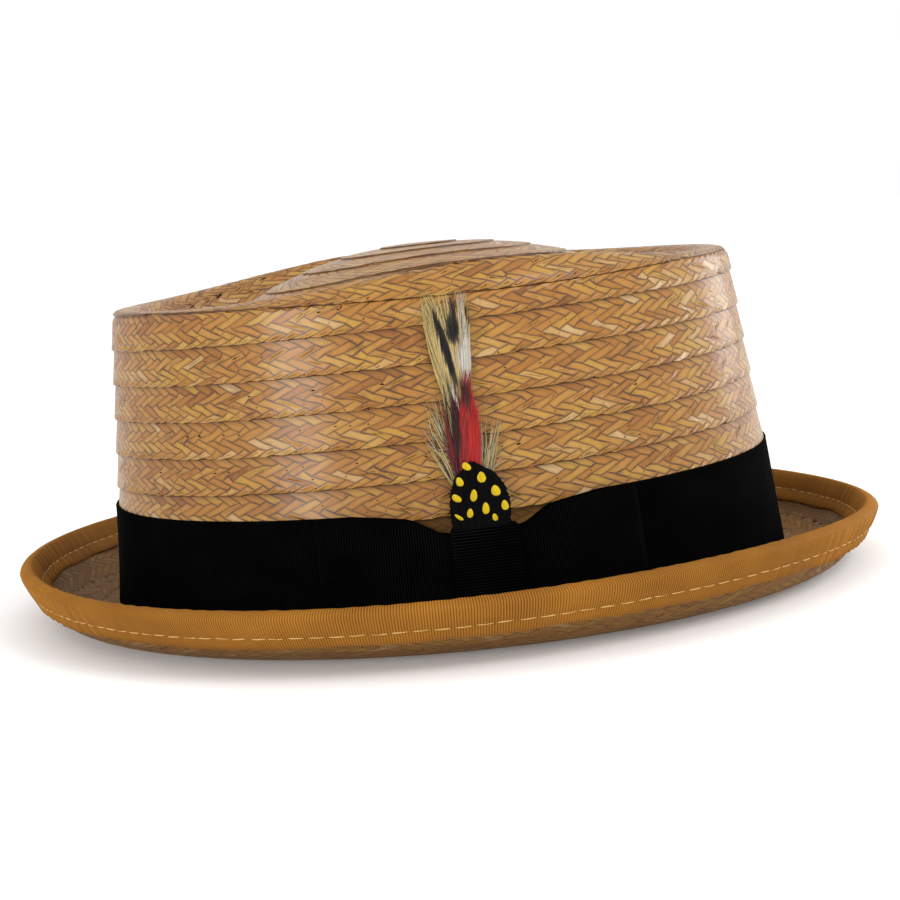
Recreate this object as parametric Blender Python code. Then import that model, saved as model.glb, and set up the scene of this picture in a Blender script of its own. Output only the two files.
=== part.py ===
"""Straw porkpie hat: plaited body, bound brim, ribbon band with a flat bow, and three feathers.

The front looks along -X and the wearer's left side, which carries the bow, along -Y. Metres, +Z up,
resting on z = 0. Every ring of the hat is an oval; a ring's place round the hat is an angle from +X.
"""

import math
from typing import Callable
from typing import NamedTuple

import bmesh
import bpy
from mathutils import Vector

# Crown, outside, measured on the floor plane
CROWN_LENGTH = 0.2030
CROWN_WIDTH = 0.1730
RIDGE_HEIGHT = 0.0920
RIDGE_END_DROP = 0.0020
WALL_TAPER = 0.0087
CROWN_LEAN = 0.0037
CROWN_TILT = 0.028
STRAW_WALL = 0.0020

# Plaited braid: rows lap over each other like boards, the upper over the lower
BRAID_PITCH = 0.0102
BRAID_STEP = 0.0007
BRAID_LAP = 0.0005
FIRST_ROW_DROP = 0.0079
ROW_CLIMB = 0.022
SIDE_ROWS = 5
TIP_ROWS = 6

# Rim, crease and tip above the ridge
RIM_RISE_SIDE = 0.0068
RIM_RISE_END = 0.0006
RIM_SIDE_SHARPNESS = 5
CREASE_INSET = 0.0200
CREASE_DEPTH = 0.0095
CREASE_DEPTH_FRONT = 0.0055
TIP_RISE = 0.0108
TIP_ROUNDNESS = 2.2

# Brim, to the outer edge of its binding
BRIM_REACH_SIDE = 0.0380
BRIM_REACH_END = 0.0287
BRIM_FORE_REACH = 0.0024
EDGE_HEIGHT_SIDE = 0.0194
EDGE_HEIGHT_FRONT = 0.0181
EDGE_HEIGHT_BACK = 0.0162
EDGE_QUARTER_LIFT = 0.0004
EDGE_SLOPE = math.radians(62)
SEAT_START = 0.0045
SEAT_WIDTH = 0.0070
BELLY_LIFT_FRONT = 0.0015
BELLY_RUN_SHARE = 0.60
LIP_SHARE = 0.55

# Ribbon trim
BINDING_DEPTH = 0.0094
BINDING_CLOTH = 0.0008
BAND_WIDTH = 0.0303
BAND_CLOTH = 0.0010
BAND_FOOT = 0.0050
BAND_DIP_SHARE = 0.82
BOW_ANGLE = math.radians(-97.95)
BOW_LENGTH = 0.0880
BOW_CLOTH = 0.0008
BOW_PUFF = 0.0024
BOW_PINCH = 0.0068
KNOT_WIDTH = 0.0180
KNOT_BACK_SHARE = 0.80
KNOT_CLOTH = 0.0008

# Feathers
FEATHER_THICKNESS = 0.0011
LOCK_CUT = 0.16
BARRED_LENGTH = 0.0610
BARRED_WIDTH = 0.0220
BARRED_LEAN = -0.04
RED_LENGTH = 0.0390
RED_WIDTH = 0.0060
RED_ALONG = -0.0015
RED_LEAN = 0.05
SPOTTED_LENGTH = 0.0165
SPOTTED_WIDTH = 0.0152
SPOTTED_LEAN = 0.03

# Gap between pieces that touch
GAP = 0.0003
ROUND_SEGMENTS = 40

STRAW_COLOUR = (0.52, 0.33, 0.12)
BINDING_COLOUR = (0.42, 0.21, 0.06)
RIBBON_COLOUR = (0.012, 0.012, 0.014)
BARRED_COLOUR = (0.45, 0.33, 0.15)
RED_COLOUR = (0.36, 0.02, 0.01)
SPOTTED_COLOUR = (0.02, 0.018, 0.015)

# Sections of the crown's top from just inside the ridge inward: name, inset as a share of CREASE_INSET,
# rise as a share of the rim's rise, dip as a share of the crease's depth.
RIM_SECTIONS = (
    ("rim foot", 0.06, 0.34, 0.00),
    ("rim crest", 0.24, 1.00, 0.00),
    ("rim shoulder", 0.42, 1.00, 0.12),
    ("crease wall", 0.72, 1.00, 0.66),
)

# One wing of the bow: name, along as a share of half its length, puff as a share of BOW_PUFF,
# pinch as a share of BOW_PINCH.
BOW_SECTIONS = (
    ("knot", 0.00, 0.00, 1.00),
    ("knot side", 0.24, 0.00, 1.00),
    ("gather", 0.38, 0.75, 0.45),
    ("wing", 0.62, 1.00, 0.12),
    ("wing tip", 0.90, 0.60, 0.00),
)


class Feather(NamedTuple):
    """One feather: where its vane starts and ends, its width and its outline."""

    name: str
    colour: tuple[float, float, float]
    along: float
    lean: float
    base: float
    length: float
    width: float
    depth: float
    outline: tuple[tuple[float, float, float], ...]


class Station(NamedTuple):
    """One place on the hat's profile: a ring's half axes and height, and how it stands to the crown."""

    length: float
    width: float
    height: float
    crown_share: float
    lift: float
    on_back: bool

    @property
    def radius(self) -> float:
        """Mean half axis, which the profile's slopes are measured with."""
        return (self.length + self.width) / 2


def clear_scene() -> None:
    """Removes every object that the file starts with."""
    for item in list(bpy.data.objects):
        bpy.data.objects.remove(item, do_unlink=True)


def quarter(angle: float) -> float:
    """Swing between the back quarters (positive) and the front quarters; nought at ends and sides."""
    return math.cos(angle) - math.cos(3 * angle)


def mix(at_sides: float, at_ends: float, angle: float) -> float:
    """Blends a size between the sides and the ends of the hat."""
    return at_ends + (at_sides - at_ends) * math.sin(angle) ** 2


def wall_station(height: float, out: float = 0.0, lift: float = 0.0, on_back: bool = True) -> Station:
    """A ring on the crown's tapering wall."""
    share = height / RIDGE_HEIGHT
    taper = WALL_TAPER * share
    return Station(CROWN_LENGTH / 2 - taper + out, CROWN_WIDTH / 2 - taper + out, height, share, lift, on_back)


def rim_rise(angle: float) -> float:
    """Height of the rim's crest over the ridge, greatest along the sides."""
    side = abs(math.sin(angle)) ** RIM_SIDE_SHARPNESS
    return RIM_RISE_END + (RIM_RISE_SIDE - RIM_RISE_END) * side


def crease_dip(angle: float) -> float:
    """Depth of the crease under the rim's crest, greater at the front."""
    frontness = max(0.0, -math.cos(angle))
    return CREASE_DEPTH + CREASE_DEPTH_FRONT * frontness ** 2


def tip_stations(angle: float) -> list[Station]:
    """The domed tip from its middle to the crease, one lapped row after another."""
    length = CROWN_LENGTH / 2 - WALL_TAPER - CREASE_INSET
    width = CROWN_WIDTH / 2 - WALL_TAPER - CREASE_INSET
    crease = RIDGE_HEIGHT + rim_rise(angle) - crease_dip(angle)
    middle = RIDGE_HEIGHT + TIP_RISE
    under = BRAID_LAP / width

    def ring(share: float, lift: float, on_back: bool) -> Station:
        height = middle - (middle - crease) * share ** TIP_ROUNDNESS
        return Station(length * share, width * share, height, 1.0, lift, on_back)

    rings = [ring(0.0, 0.0, True)]
    for row in range(1, TIP_ROWS + 1):
        share = row / TIP_ROWS
        rings.append(ring(share - under, 1.0, False))
        rings.append(ring(share, 0.0, True))
    return rings


def rim_stations(angle: float) -> list[Station]:
    """From the crease up its outer wall, over the rim and down to the ridge."""
    rings = []
    drop = RIDGE_END_DROP * math.cos(angle) ** 4
    for _, inset, rise, dip in reversed(RIM_SECTIONS):
        edge = wall_station(RIDGE_HEIGHT, -inset * CREASE_INSET)
        height = RIDGE_HEIGHT + rise * rim_rise(angle) - dip * crease_dip(angle)
        rings.append(edge._replace(height=height, crown_share=1.0))
    rings.append(wall_station(RIDGE_HEIGHT - drop, lift=1.0, on_back=False))
    rings.append(wall_station(RIDGE_HEIGHT - drop - BRAID_LAP))
    return rings


def side_stations(angle: float) -> list[Station]:
    """The braid rows of the crown's side, down to where the wall turns into the brim."""
    rings = []
    climb = ROW_CLIMB * CROWN_LENGTH / 2 * math.cos(angle)
    for row in range(SIDE_ROWS):
        seam = RIDGE_HEIGHT - FIRST_ROW_DROP - row * BRAID_PITCH + climb
        rings.append(wall_station(seam, lift=1.0, on_back=False))
        rings.append(wall_station(seam - BRAID_LAP, on_back=row % 2 == 0))
    rings.append(wall_station(BAND_FOOT - GAP))
    return rings


def brim_edge(angle: float) -> tuple[float, float]:
    """Reach from the crown's base and height of the straw's edge, inside the binding's fold."""
    fold = GAP + BINDING_CLOTH
    reach = mix(BRIM_REACH_SIDE, BRIM_REACH_END, angle) - BRIM_FORE_REACH * quarter(angle)
    ends = (EDGE_HEIGHT_FRONT + EDGE_HEIGHT_BACK) / 2
    ends += (EDGE_HEIGHT_BACK - EDGE_HEIGHT_FRONT) / 2 * math.cos(angle)
    height = mix(EDGE_HEIGHT_SIDE, ends, angle) + EDGE_QUARTER_LIFT * quarter(angle)
    back_out = (STRAW_WALL + fold) * math.sin(EDGE_SLOPE)
    return reach - back_out, height - fold * math.sin(EDGE_SLOPE)


def bezier(points: list[Vector], share: float) -> Vector:
    """A point on a cubic curve."""
    rest = 1 - share
    weights = (rest ** 3, 3 * rest ** 2 * share, 3 * rest * share ** 2, share ** 3)
    return sum((point * weight for point, weight in zip(points, weights)), Vector((0, 0)))


def brim_curve(angle: float) -> list[Vector]:
    """Control points of the upturned brim's upper face: flat at the seat, steep at the edge."""
    reach, height = brim_edge(angle)
    seat_end = SEAT_START + SEAT_WIDTH
    run = reach - seat_end
    belly = BELLY_LIFT_FRONT * (1 - math.cos(angle)) / 2
    lip = LIP_SHARE * (height - STRAW_WALL)
    return [
        Vector((seat_end, STRAW_WALL)),
        Vector((seat_end + BELLY_RUN_SHARE * run, STRAW_WALL + belly)),
        Vector((reach - lip * math.cos(EDGE_SLOPE), height - lip * math.sin(EDGE_SLOPE))),
        Vector((reach, height)),
    ]


def brim_stations(angle: float) -> list[Station]:
    """The fillet under the band, the flat seat and the upturned brim, out to its edge."""

    def ring(out: float, height: float) -> Station:
        base = wall_station(0.0, out)
        return base._replace(height=height)

    curve = brim_curve(angle)
    steps = 40
    walk = [bezier(curve, step / steps) for step in range(steps + 1)]
    lengths = [0.0]
    for before, after in zip(walk, walk[1:]):
        lengths.append(lengths[-1] + (after - before).length)

    def at(distance: float) -> Station:
        index = next(i for i in range(steps) if lengths[i + 1] >= distance - 1e-9)
        share = (distance - lengths[index]) / (lengths[index + 1] - lengths[index])
        return ring(*walk[index].lerp(walk[index + 1], share))

    free = lengths[-1] - BINDING_DEPTH
    rings = [ring(0.3 * STRAW_WALL, 1.35 * STRAW_WALL), ring(SEAT_START, STRAW_WALL)]
    rings.append(ring(SEAT_START + SEAT_WIDTH, STRAW_WALL))
    rings += [at(free * share) for share in (0.5, 1.0)]
    rings += [at(free + BINDING_DEPTH * share) for share in (0.5, 1.0)]
    return rings


def profile(angle: float) -> list[Station]:
    """The whole upper face of the straw body from the tip's middle to the brim's edge."""
    return tip_stations(angle) + rim_stations(angle) + side_stations(angle) + brim_stations(angle)


def place(station: Station, angle: float) -> Vector:
    """World position of a station, with the crown's lean to the front and rise to the back."""
    share = station.crown_share
    x = station.length * math.cos(angle) - CROWN_LEAN * share
    y = station.width * math.sin(angle)
    return Vector((x, y, station.height + CROWN_TILT * math.sqrt(share) * x))


def sideways(before: Vector, here: Vector, after: Vector) -> Vector:
    """Step to the left of a path, mitred so that the edges on both sides stay parallel."""
    first = (here - before).normalized()
    last = (after - here).normalized()
    steps = [Vector((-run.y, run.x)) for run in (first, last)]
    return (steps[0] + steps[1]) / (1 + steps[0].dot(steps[1]))


def offset(rings: list[Station], index: int, depth: float, beyond: float = 0.0) -> Station:
    """A station moved out of the straw's face, and on past the brim's edge where asked."""
    path = [Vector((ring.radius, ring.height)) for ring in rings]
    here = path[index]
    if index in (0, len(path) - 1):
        run = (path[-1] - path[-2]).normalized() if index else Vector((1, 0))
    else:
        run = Vector((0, 0))
    ends = (here - run, here + run) if run.length else (path[index - 1], path[index + 1])
    step = sideways(ends[0], here, ends[1]) * depth + run * beyond
    ring = rings[index]
    return ring._replace(length=ring.length + step.x, width=ring.width + step.x, height=ring.height + step.y)


def loft(name: str, rings: list[list[Vector]], close_ends: bool, colour, roughness: float) -> bpy.types.Object:
    """Joins closed rings of equal count into one body, ring to ring, round to the first or capped."""
    form = bmesh.new()
    loops = [[form.verts.new(point) for point in ring] for ring in rings]
    pairs = list(zip(loops, loops[1:] + loops[:1]))
    if close_ends:
        pairs.pop()
        form.faces.new(loops[0])
        form.faces.new(loops[-1])
    for first, second in pairs:
        count = len(first)
        for i in range(count):
            j = (i + 1) % count
            form.faces.new((first[i], first[j], second[j], second[i]))
    return finish(name, form, colour, roughness)


def finish(name: str, form: bmesh.types.BMesh, colour, roughness: float) -> bpy.types.Object:
    """Turns a working mesh into a named, smooth object with its own material."""
    bmesh.ops.remove_doubles(form, verts=form.verts, dist=1e-6)
    bmesh.ops.recalc_face_normals(form, faces=form.faces)
    mesh = bpy.data.meshes.new(name)
    form.to_mesh(mesh)
    form.free()
    mesh.shade_smooth()
    mesh.set_sharp_from_angle(angle=math.radians(50))
    material = bpy.data.materials.new(name)
    material.use_nodes = True
    shader = material.node_tree.nodes["Principled BSDF"]
    shader.inputs["Base Color"].default_value = (*colour, 1.0)
    shader.inputs["Roughness"].default_value = roughness
    shader.inputs["Metallic"].default_value = 0.0
    mesh.materials.append(material)
    item = bpy.data.objects.new(name, mesh)
    PARTS.objects.link(item)
    return item


def turned(name: str, section: Callable[[float], list[Vector]], colour, roughness: float) -> bpy.types.Object:
    """Carries a closed section round the hat, one copy for each segment."""
    angles = [2 * math.pi * i / ROUND_SEGMENTS for i in range(ROUND_SEGMENTS)]
    return loft(name, [section(angle) for angle in angles], False, colour, roughness)


def make_straw_body() -> bpy.types.Object:
    """Crown and brim, one shell of lapped braid rows, open for the head."""

    def section(angle: float) -> list[Vector]:
        rings = profile(angle)
        upper = [offset(rings, i, ring.lift * BRAID_STEP) for i, ring in enumerate(rings)]
        lower = [offset(rings, i, -STRAW_WALL) for i, ring in enumerate(rings) if ring.on_back]
        return [place(ring, angle) for ring in upper + lower[::-1]]

    return turned("straw_body", section, STRAW_COLOUR, 0.55)


def make_brim_binding() -> bpy.types.Object:
    """Ribbon folded over the brim's edge, the same depth on both faces."""
    near = GAP
    far = GAP + BINDING_CLOTH

    def section(angle: float) -> list[Vector]:
        rings = profile(angle)
        last = len(rings) - 1
        places = (last - 2, last - 1)
        under = -STRAW_WALL
        outer = [offset(rings, i, far) for i in places]
        outer.append(offset(rings, last, far, 0.25 * far))
        outer.append(offset(rings, last, 0.15 * under, far))
        outer.append(offset(rings, last, 0.85 * under, far))
        outer.append(offset(rings, last, under - far, 0.25 * far))
        outer += [offset(rings, i, under - far) for i in reversed(places)]
        inner = [offset(rings, i, under - near) for i in places]
        inner.append(offset(rings, last, under - near, near))
        inner.append(offset(rings, last, near, near))
        inner += [offset(rings, i, near) for i in reversed(places)]
        return [place(ring, angle) for ring in outer + inner]

    return turned("brim_binding", section, BINDING_COLOUR, 0.7)


def make_hat_band() -> bpy.types.Object:
    """Ribbon round the foot of the crown, drawn down where the bow's knot holds it."""
    dip = BOW_PINCH + 2 * GAP
    reach = BAND_DIP_SHARE * BOW_LENGTH / 2

    def section(angle: float) -> list[Vector]:
        along = math.remainder(angle - BOW_ANGLE, 2 * math.pi) * CROWN_LENGTH / 2
        pull = dip * max(0.0, 1 - (along / reach) ** 2) ** 2
        low, high = BAND_FOOT, BAND_FOOT + BAND_WIDTH - pull
        near, far = GAP, GAP + BAND_CLOTH
        corners = ((low, near), (high, near), (high, far), (low, far))
        return [place(wall_station(height, out), angle) for height, out in corners]

    return turned("hat_band", section, RIBBON_COLOUR, 0.6)


def on_crown(along: float, height: float, out: float) -> Vector:
    """A place by the bow: distance toward the back, height, and distance out from the wall."""
    angle = BOW_ANGLE + along / (CROWN_LENGTH / 2)
    return place(wall_station(height, out), angle)


def make_bow_loop() -> bpy.types.Object:
    """Flat loop of ribbon, both wings in one, pinched where the knot holds it."""
    half = BOW_LENGTH / 2
    middle = BAND_FOOT + BAND_WIDTH / 2
    rest = 2 * GAP + BAND_CLOTH
    under_knot = rest + KNOT_CLOTH + GAP
    front = under_knot + BOW_CLOTH + 1.3 * GAP

    def layer(side: int, outer: bool) -> list[tuple[float, float, float]]:
        points = []
        for _, along, puff, pinch in BOW_SECTIONS:
            held = along * half <= KNOT_WIDTH * 0.6
            inside = under_knot if held else rest
            depth = front + puff * BOW_PUFF if outer else inside
            points.append((side * along * half, depth, BAND_WIDTH / 2 - pinch * BOW_PINCH))
        return points

    def wing(side: int) -> list[tuple[float, float, float]]:
        fold = (side * half, (front + rest + BOW_CLOTH) / 2, BAND_WIDTH / 2)
        return layer(side, True)[1:] + [fold] + layer(side, False)[:0:-1]

    def mirrored(points: list[tuple[float, float, float]]) -> list[tuple[float, float, float]]:
        return [(-along, depth, tall) for along, depth, tall in reversed(points)]

    back_wing = wing(1)
    path = layer(1, True)[:1] + back_wing + layer(1, False)[:1] + mirrored(back_wing)
    rings = []
    for i, (along, depth, tall) in enumerate(path):
        spots = [Vector(path[(i + step) % len(path)][:2]) for step in (-1, 0, 1)]
        side = sideways(*spots) * BOW_CLOTH / 2
        centre = Vector((along, depth + BOW_CLOTH / 2))
        ring = []
        for face in (-1, 1):
            spot = centre + face * side
            levels = (tall, 0.0, -tall) if face < 0 else (-tall, 0.0, tall)
            ring += [on_crown(spot.x, middle + level, spot.y) for level in levels]
        rings.append(ring)
    return loft("bow_loop", rings, False, RIBBON_COLOUR, 0.6)


def make_bow_knot() -> bpy.types.Object:
    """Short sleeve of ribbon round the middle of the bow, passing behind it on the band."""
    middle = BAND_FOOT + BAND_WIDTH / 2
    rest = 2 * GAP + BAND_CLOTH
    tall = BAND_WIDTH / 2 - BOW_PINCH + 2 * GAP
    back = rest + KNOT_CLOTH
    front = back + GAP + 2 * BOW_CLOTH + 3 * GAP
    # Inner face of the sleeve: name, height as a share of tall, depth from its back to its front
    sections = (
        ("front middle", 0.00, 1.10),
        ("front upper", 0.75, 1.00),
        ("upper edge", 1.00, 0.84),
        ("upper back", 1.00, 0.00),
        ("lower back", -1.00, 0.00),
        ("lower edge", -1.00, 0.84),
        ("front lower", -0.75, 1.00),
    )
    path = [Vector((rise * tall, back + depth * (front - back))) for _, rise, depth in sections]
    rings = []
    for i, here in enumerate(path):
        out = here + sideways(path[i - 1], here, path[(i + 1) % len(path)]) * KNOT_CLOTH
        half_width = KNOT_WIDTH / 2 * (KNOT_BACK_SHARE + (1 - KNOT_BACK_SHARE) * sections[i][2])
        ring = [on_crown(side * half_width, middle + out.x, out.y) for side in (-1, 0, 1)]
        ring += [on_crown(side * half_width, middle + here.x, here.y) for side in (1, 0, -1)]
        rings.append(ring)
    return loft("bow_knot", rings, False, RIBBON_COLOUR, 0.6)


def feathers() -> list[Feather]:
    """The spray from back to front; outlines list share of length, then left and right half widths."""
    base = BAND_FOOT + BAND_WIDTH - BOW_PINCH + KNOT_CLOTH + 3 * GAP
    start = 2 * GAP + BAND_CLOTH
    layer = FEATHER_THICKNESS + GAP
    return [
        Feather(
            "feather_barred", BARRED_COLOUR, 0.0, BARRED_LEAN, base, BARRED_LENGTH, BARRED_WIDTH, start,
            (
                (0.00, 0.10, 0.10), (0.10, 0.30, 0.30), (0.20, 0.72, 0.55), (0.30, 0.95, 0.95),
                (0.42, 0.90, 0.85), (0.54, 0.70, 0.50), (0.64, 0.45, 0.45), (0.74, 0.60, 0.65),
                (0.84, 0.66, 0.62), (0.93, 0.45, 0.42), (1.00, 0.12, 0.12),
            ),
        ),
        Feather(
            "feather_red", RED_COLOUR, RED_ALONG, RED_LEAN, base, RED_LENGTH, RED_WIDTH, start + layer,
            (
                (0.00, 0.40, 0.40), (0.20, 0.80, 0.80), (0.40, 1.00, 1.00), (0.60, 1.00, 1.00),
                (0.80, 0.85, 0.80), (0.92, 0.60, 0.55), (1.00, 0.15, 0.15),
            ),
        ),
        Feather(
            "feather_spotted", SPOTTED_COLOUR, 0.0, SPOTTED_LEAN, base, SPOTTED_LENGTH, SPOTTED_WIDTH,
            start + layer + layer,
            (
                (0.00, 0.60, 0.60), (0.20, 0.90, 0.92), (0.40, 1.00, 1.00), (0.60, 0.98, 0.96),
                (0.78, 0.80, 0.72), (0.90, 0.55, 0.45), (1.00, 0.22, 0.12),
            ),
        ),
    ]


def make_feather(feather: Feather) -> bpy.types.Object:
    """A vane with a thick quill line and notched edges that part it into locks."""
    rings = []
    for i, (share, left, right) in enumerate(feather.outline):
        cut = 1 - LOCK_CUT * (i % 2)
        rise = share * feather.length
        middle = feather.along + feather.lean * rise
        half = feather.width / 2 * cut
        thick = FEATHER_THICKNESS
        # Round the vane: sideways share, depth share of the thickness
        section = (
            (-left, 0.45), (-0.5 * left, 0.80), (0.0, 1.00), (0.5 * right, 0.80), (right, 0.45),
            (right, 0.00), (0.0, 0.00), (-left, 0.00),
        )
        height = feather.base + rise
        rings.append(
            [on_crown(middle + side * half, height, feather.depth + deep * thick) for side, deep in section]
        )
    return loft(feather.name, rings, True, feather.colour, 0.75)


def main() -> None:
    """Builds the hat piece by piece."""
    make_straw_body()
    make_brim_binding()
    make_hat_band()
    make_bow_loop()
    make_bow_knot()
    for feather in feathers():
        make_feather(feather)


clear_scene()
PARTS = bpy.data.collections.new("porkpie_hat")
bpy.context.scene.collection.children.link(PARTS)
main()
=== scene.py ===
"""Looks of a straw porkpie hat: plaited rows, ribbon trim, stitches and a small spray of feathers.

Metres, +Z up. The hat's front looks along -X, the wearer's left with the bow along -Y.
"""

import logging
import math
from collections.abc import Callable
from dataclasses import dataclass
from dataclasses import field
from enum import Enum

import bmesh
import bpy
import numpy as np
from mathutils import Matrix
from mathutils import Vector

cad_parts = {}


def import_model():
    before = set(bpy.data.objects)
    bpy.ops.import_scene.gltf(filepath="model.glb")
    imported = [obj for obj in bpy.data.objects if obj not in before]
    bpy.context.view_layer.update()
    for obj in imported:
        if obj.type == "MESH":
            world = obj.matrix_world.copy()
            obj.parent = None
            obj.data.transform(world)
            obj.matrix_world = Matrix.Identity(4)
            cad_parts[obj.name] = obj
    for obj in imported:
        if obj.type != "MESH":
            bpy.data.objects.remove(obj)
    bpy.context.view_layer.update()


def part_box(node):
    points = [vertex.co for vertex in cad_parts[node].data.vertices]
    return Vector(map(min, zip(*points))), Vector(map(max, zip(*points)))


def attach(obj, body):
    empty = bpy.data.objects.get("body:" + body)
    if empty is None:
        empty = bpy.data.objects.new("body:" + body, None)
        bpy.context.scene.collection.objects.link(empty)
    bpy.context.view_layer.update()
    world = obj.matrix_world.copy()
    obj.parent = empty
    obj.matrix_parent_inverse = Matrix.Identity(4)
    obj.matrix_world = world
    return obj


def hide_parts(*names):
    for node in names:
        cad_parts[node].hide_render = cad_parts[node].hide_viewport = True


LOG = logging.getLogger("porkpie_hat")
TURN = 2 * math.pi
Array = np.ndarray
Form = bmesh.types.BMesh
Triple = tuple[float, float, float]
Stops = tuple[tuple[float, Triple], ...]
Seam = Callable[[Array], Array]
PlaceRule = Callable[[Array, Array], Array]
SLIVER = 2e-10
WELD = 2e-6


class Section(Enum):
    """Stretches of the hat's profile, from the middle of the tip to the brim's edge."""

    TIP = 0
    RIM = 1
    WALL = 2
    SEAT = 3
    BRIM = 4


class Face(Enum):
    """The two faces of the straw."""

    OUTSIDE = 1
    INSIDE = -1


# Shader maths


class Socket:
    """A value in a material's node tree that can be used in Python expressions."""

    def __init__(self, tree: "Finish", link: bpy.types.NodeSocket) -> None:
        """Keeps the node tree and the output socket."""
        self.tree = tree
        self.link = link

    def _math(self, operation: str, first: object, second: object) -> "Socket":
        """Adds one Math node and returns its value."""
        return self.tree.node("ShaderNodeMath", {"operation": operation}, {0: first, 1: second})

    def __add__(self, other: object) -> "Socket":
        """Sum."""
        return self._math("ADD", self, other)

    def __radd__(self, other: object) -> "Socket":
        """Sum, reflected."""
        return self._math("ADD", other, self)

    def __sub__(self, other: object) -> "Socket":
        """Difference."""
        return self._math("SUBTRACT", self, other)

    def __rsub__(self, other: object) -> "Socket":
        """Difference, reflected."""
        return self._math("SUBTRACT", other, self)

    def __mul__(self, other: object) -> "Socket":
        """Product."""
        return self._math("MULTIPLY", self, other)

    def clamped(self) -> "Socket":
        """The value held between 0 and 1."""
        return self.tree.node("ShaderNodeClamp", {}, {"Value": self})


class Finish:
    """A procedural material under construction."""

    def __init__(self, name: str) -> None:
        """Makes an empty material with its shader.

        Args:
            name: the material's name.
        """
        self.material = bpy.data.materials.new(name)
        self.material.use_nodes = True
        self.nodes = self.material.node_tree.nodes
        self.links = self.material.node_tree.links
        self.shader = self.nodes["Principled BSDF"]

    def node(self, kind: str, settings: dict, sockets: dict, output: int | str = 0) -> Socket:
        """Adds one node.

        Args:
            kind: Blender's name of the node type.
            settings: properties of the node; "stops" fills a colour ramp.
            sockets: values or links by input name or number.
            output: name or number of the output that is returned.

        Returns:
            The chosen output as a value for expressions.
        """
        made = self.nodes.new(kind)
        for key, value in settings.items():
            if key == "stops":
                ramp = made.color_ramp
                while len(ramp.elements) < len(value):
                    ramp.elements.new(0.5)
                for element, (position, colour) in zip(ramp.elements, value):
                    element.position = position
                    element.color = (*colour, 1.0)
            else:
                setattr(made, key, value)
        for key, value in sockets.items():
            self.feed(made.inputs[key], value)
        return Socket(self, made.outputs[output])

    def feed(self, target: bpy.types.NodeSocket, value: object) -> None:
        """Links a value to an input, or sets it there.

        Args:
            target: the input socket.
            value: a node's value, or a number, colour or vector.
        """
        if isinstance(value, Socket):
            self.links.new(value.link, target)
        else:
            target.default_value = value

    def attribute(self, name: str) -> Socket:
        """A number stored on the mesh."""
        return self.node("ShaderNodeAttribute", {"attribute_name": name}, {}, "Fac")

    def place(self) -> Socket:
        """Position on the piece in metres."""
        return self.node("ShaderNodeTexCoord", {}, {}, "Object")

    def grain(self) -> Socket:
        """The piece's own UV map."""
        return self.node("ShaderNodeTexCoord", {}, {}, "UV")

    def noise(self, where: Socket, scale: Triple, detail: float = 2.0) -> Socket:
        """Cloudy noise, stretched by a scale for each axis."""
        spot = self.node("ShaderNodeVectorMath", {"operation": "MULTIPLY"}, {0: where, 1: scale})
        return self.node("ShaderNodeTexNoise", {}, {"Vector": spot, "Scale": 1.0, "Detail": detail})

    def blend(self, share: object, first: object, second: object, kind: str = "MIX") -> Socket:
        """Mixes two colours.

        Args:
            share: how much of the second colour shows.
            first: a colour or a value.
            second: a colour or a value.
            kind: Blender's name of the way of mixing.

        Returns:
            The mixed colour.
        """
        first = first if isinstance(first, Socket) else (*first, 1.0)
        second = second if isinstance(second, Socket) else (*second, 1.0)
        settings = {"data_type": "RGBA", "blend_type": kind}
        return self.node("ShaderNodeMix", settings, {0: share, 6: first, 7: second}, 2)

    def ramp(self, value: Socket, stops: list) -> Socket:
        """A colour picked along a row of stops."""
        return self.node("ShaderNodeValToRGB", {"stops": stops}, {"Fac": value})

    def bump(self, height: Socket, distance: float, strength: float = 1.0) -> Socket:
        """Relief from a height."""
        return self.node("ShaderNodeBump", {}, {"Height": height, "Distance": distance, "Strength": strength})

    def dress(self, **values: object) -> bpy.types.Material:
        """Feeds the shader's sockets, named with _ for spaces.

        Args:
            values: what each socket takes.

        Returns:
            The material.
        """
        for key, value in values.items():
            target = self.shader.inputs[key.replace("_", " ")]
            if isinstance(value, tuple) and len(value) == 3:
                value = (*value, 1.0)
            self.feed(target, value)
        return self.material


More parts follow.
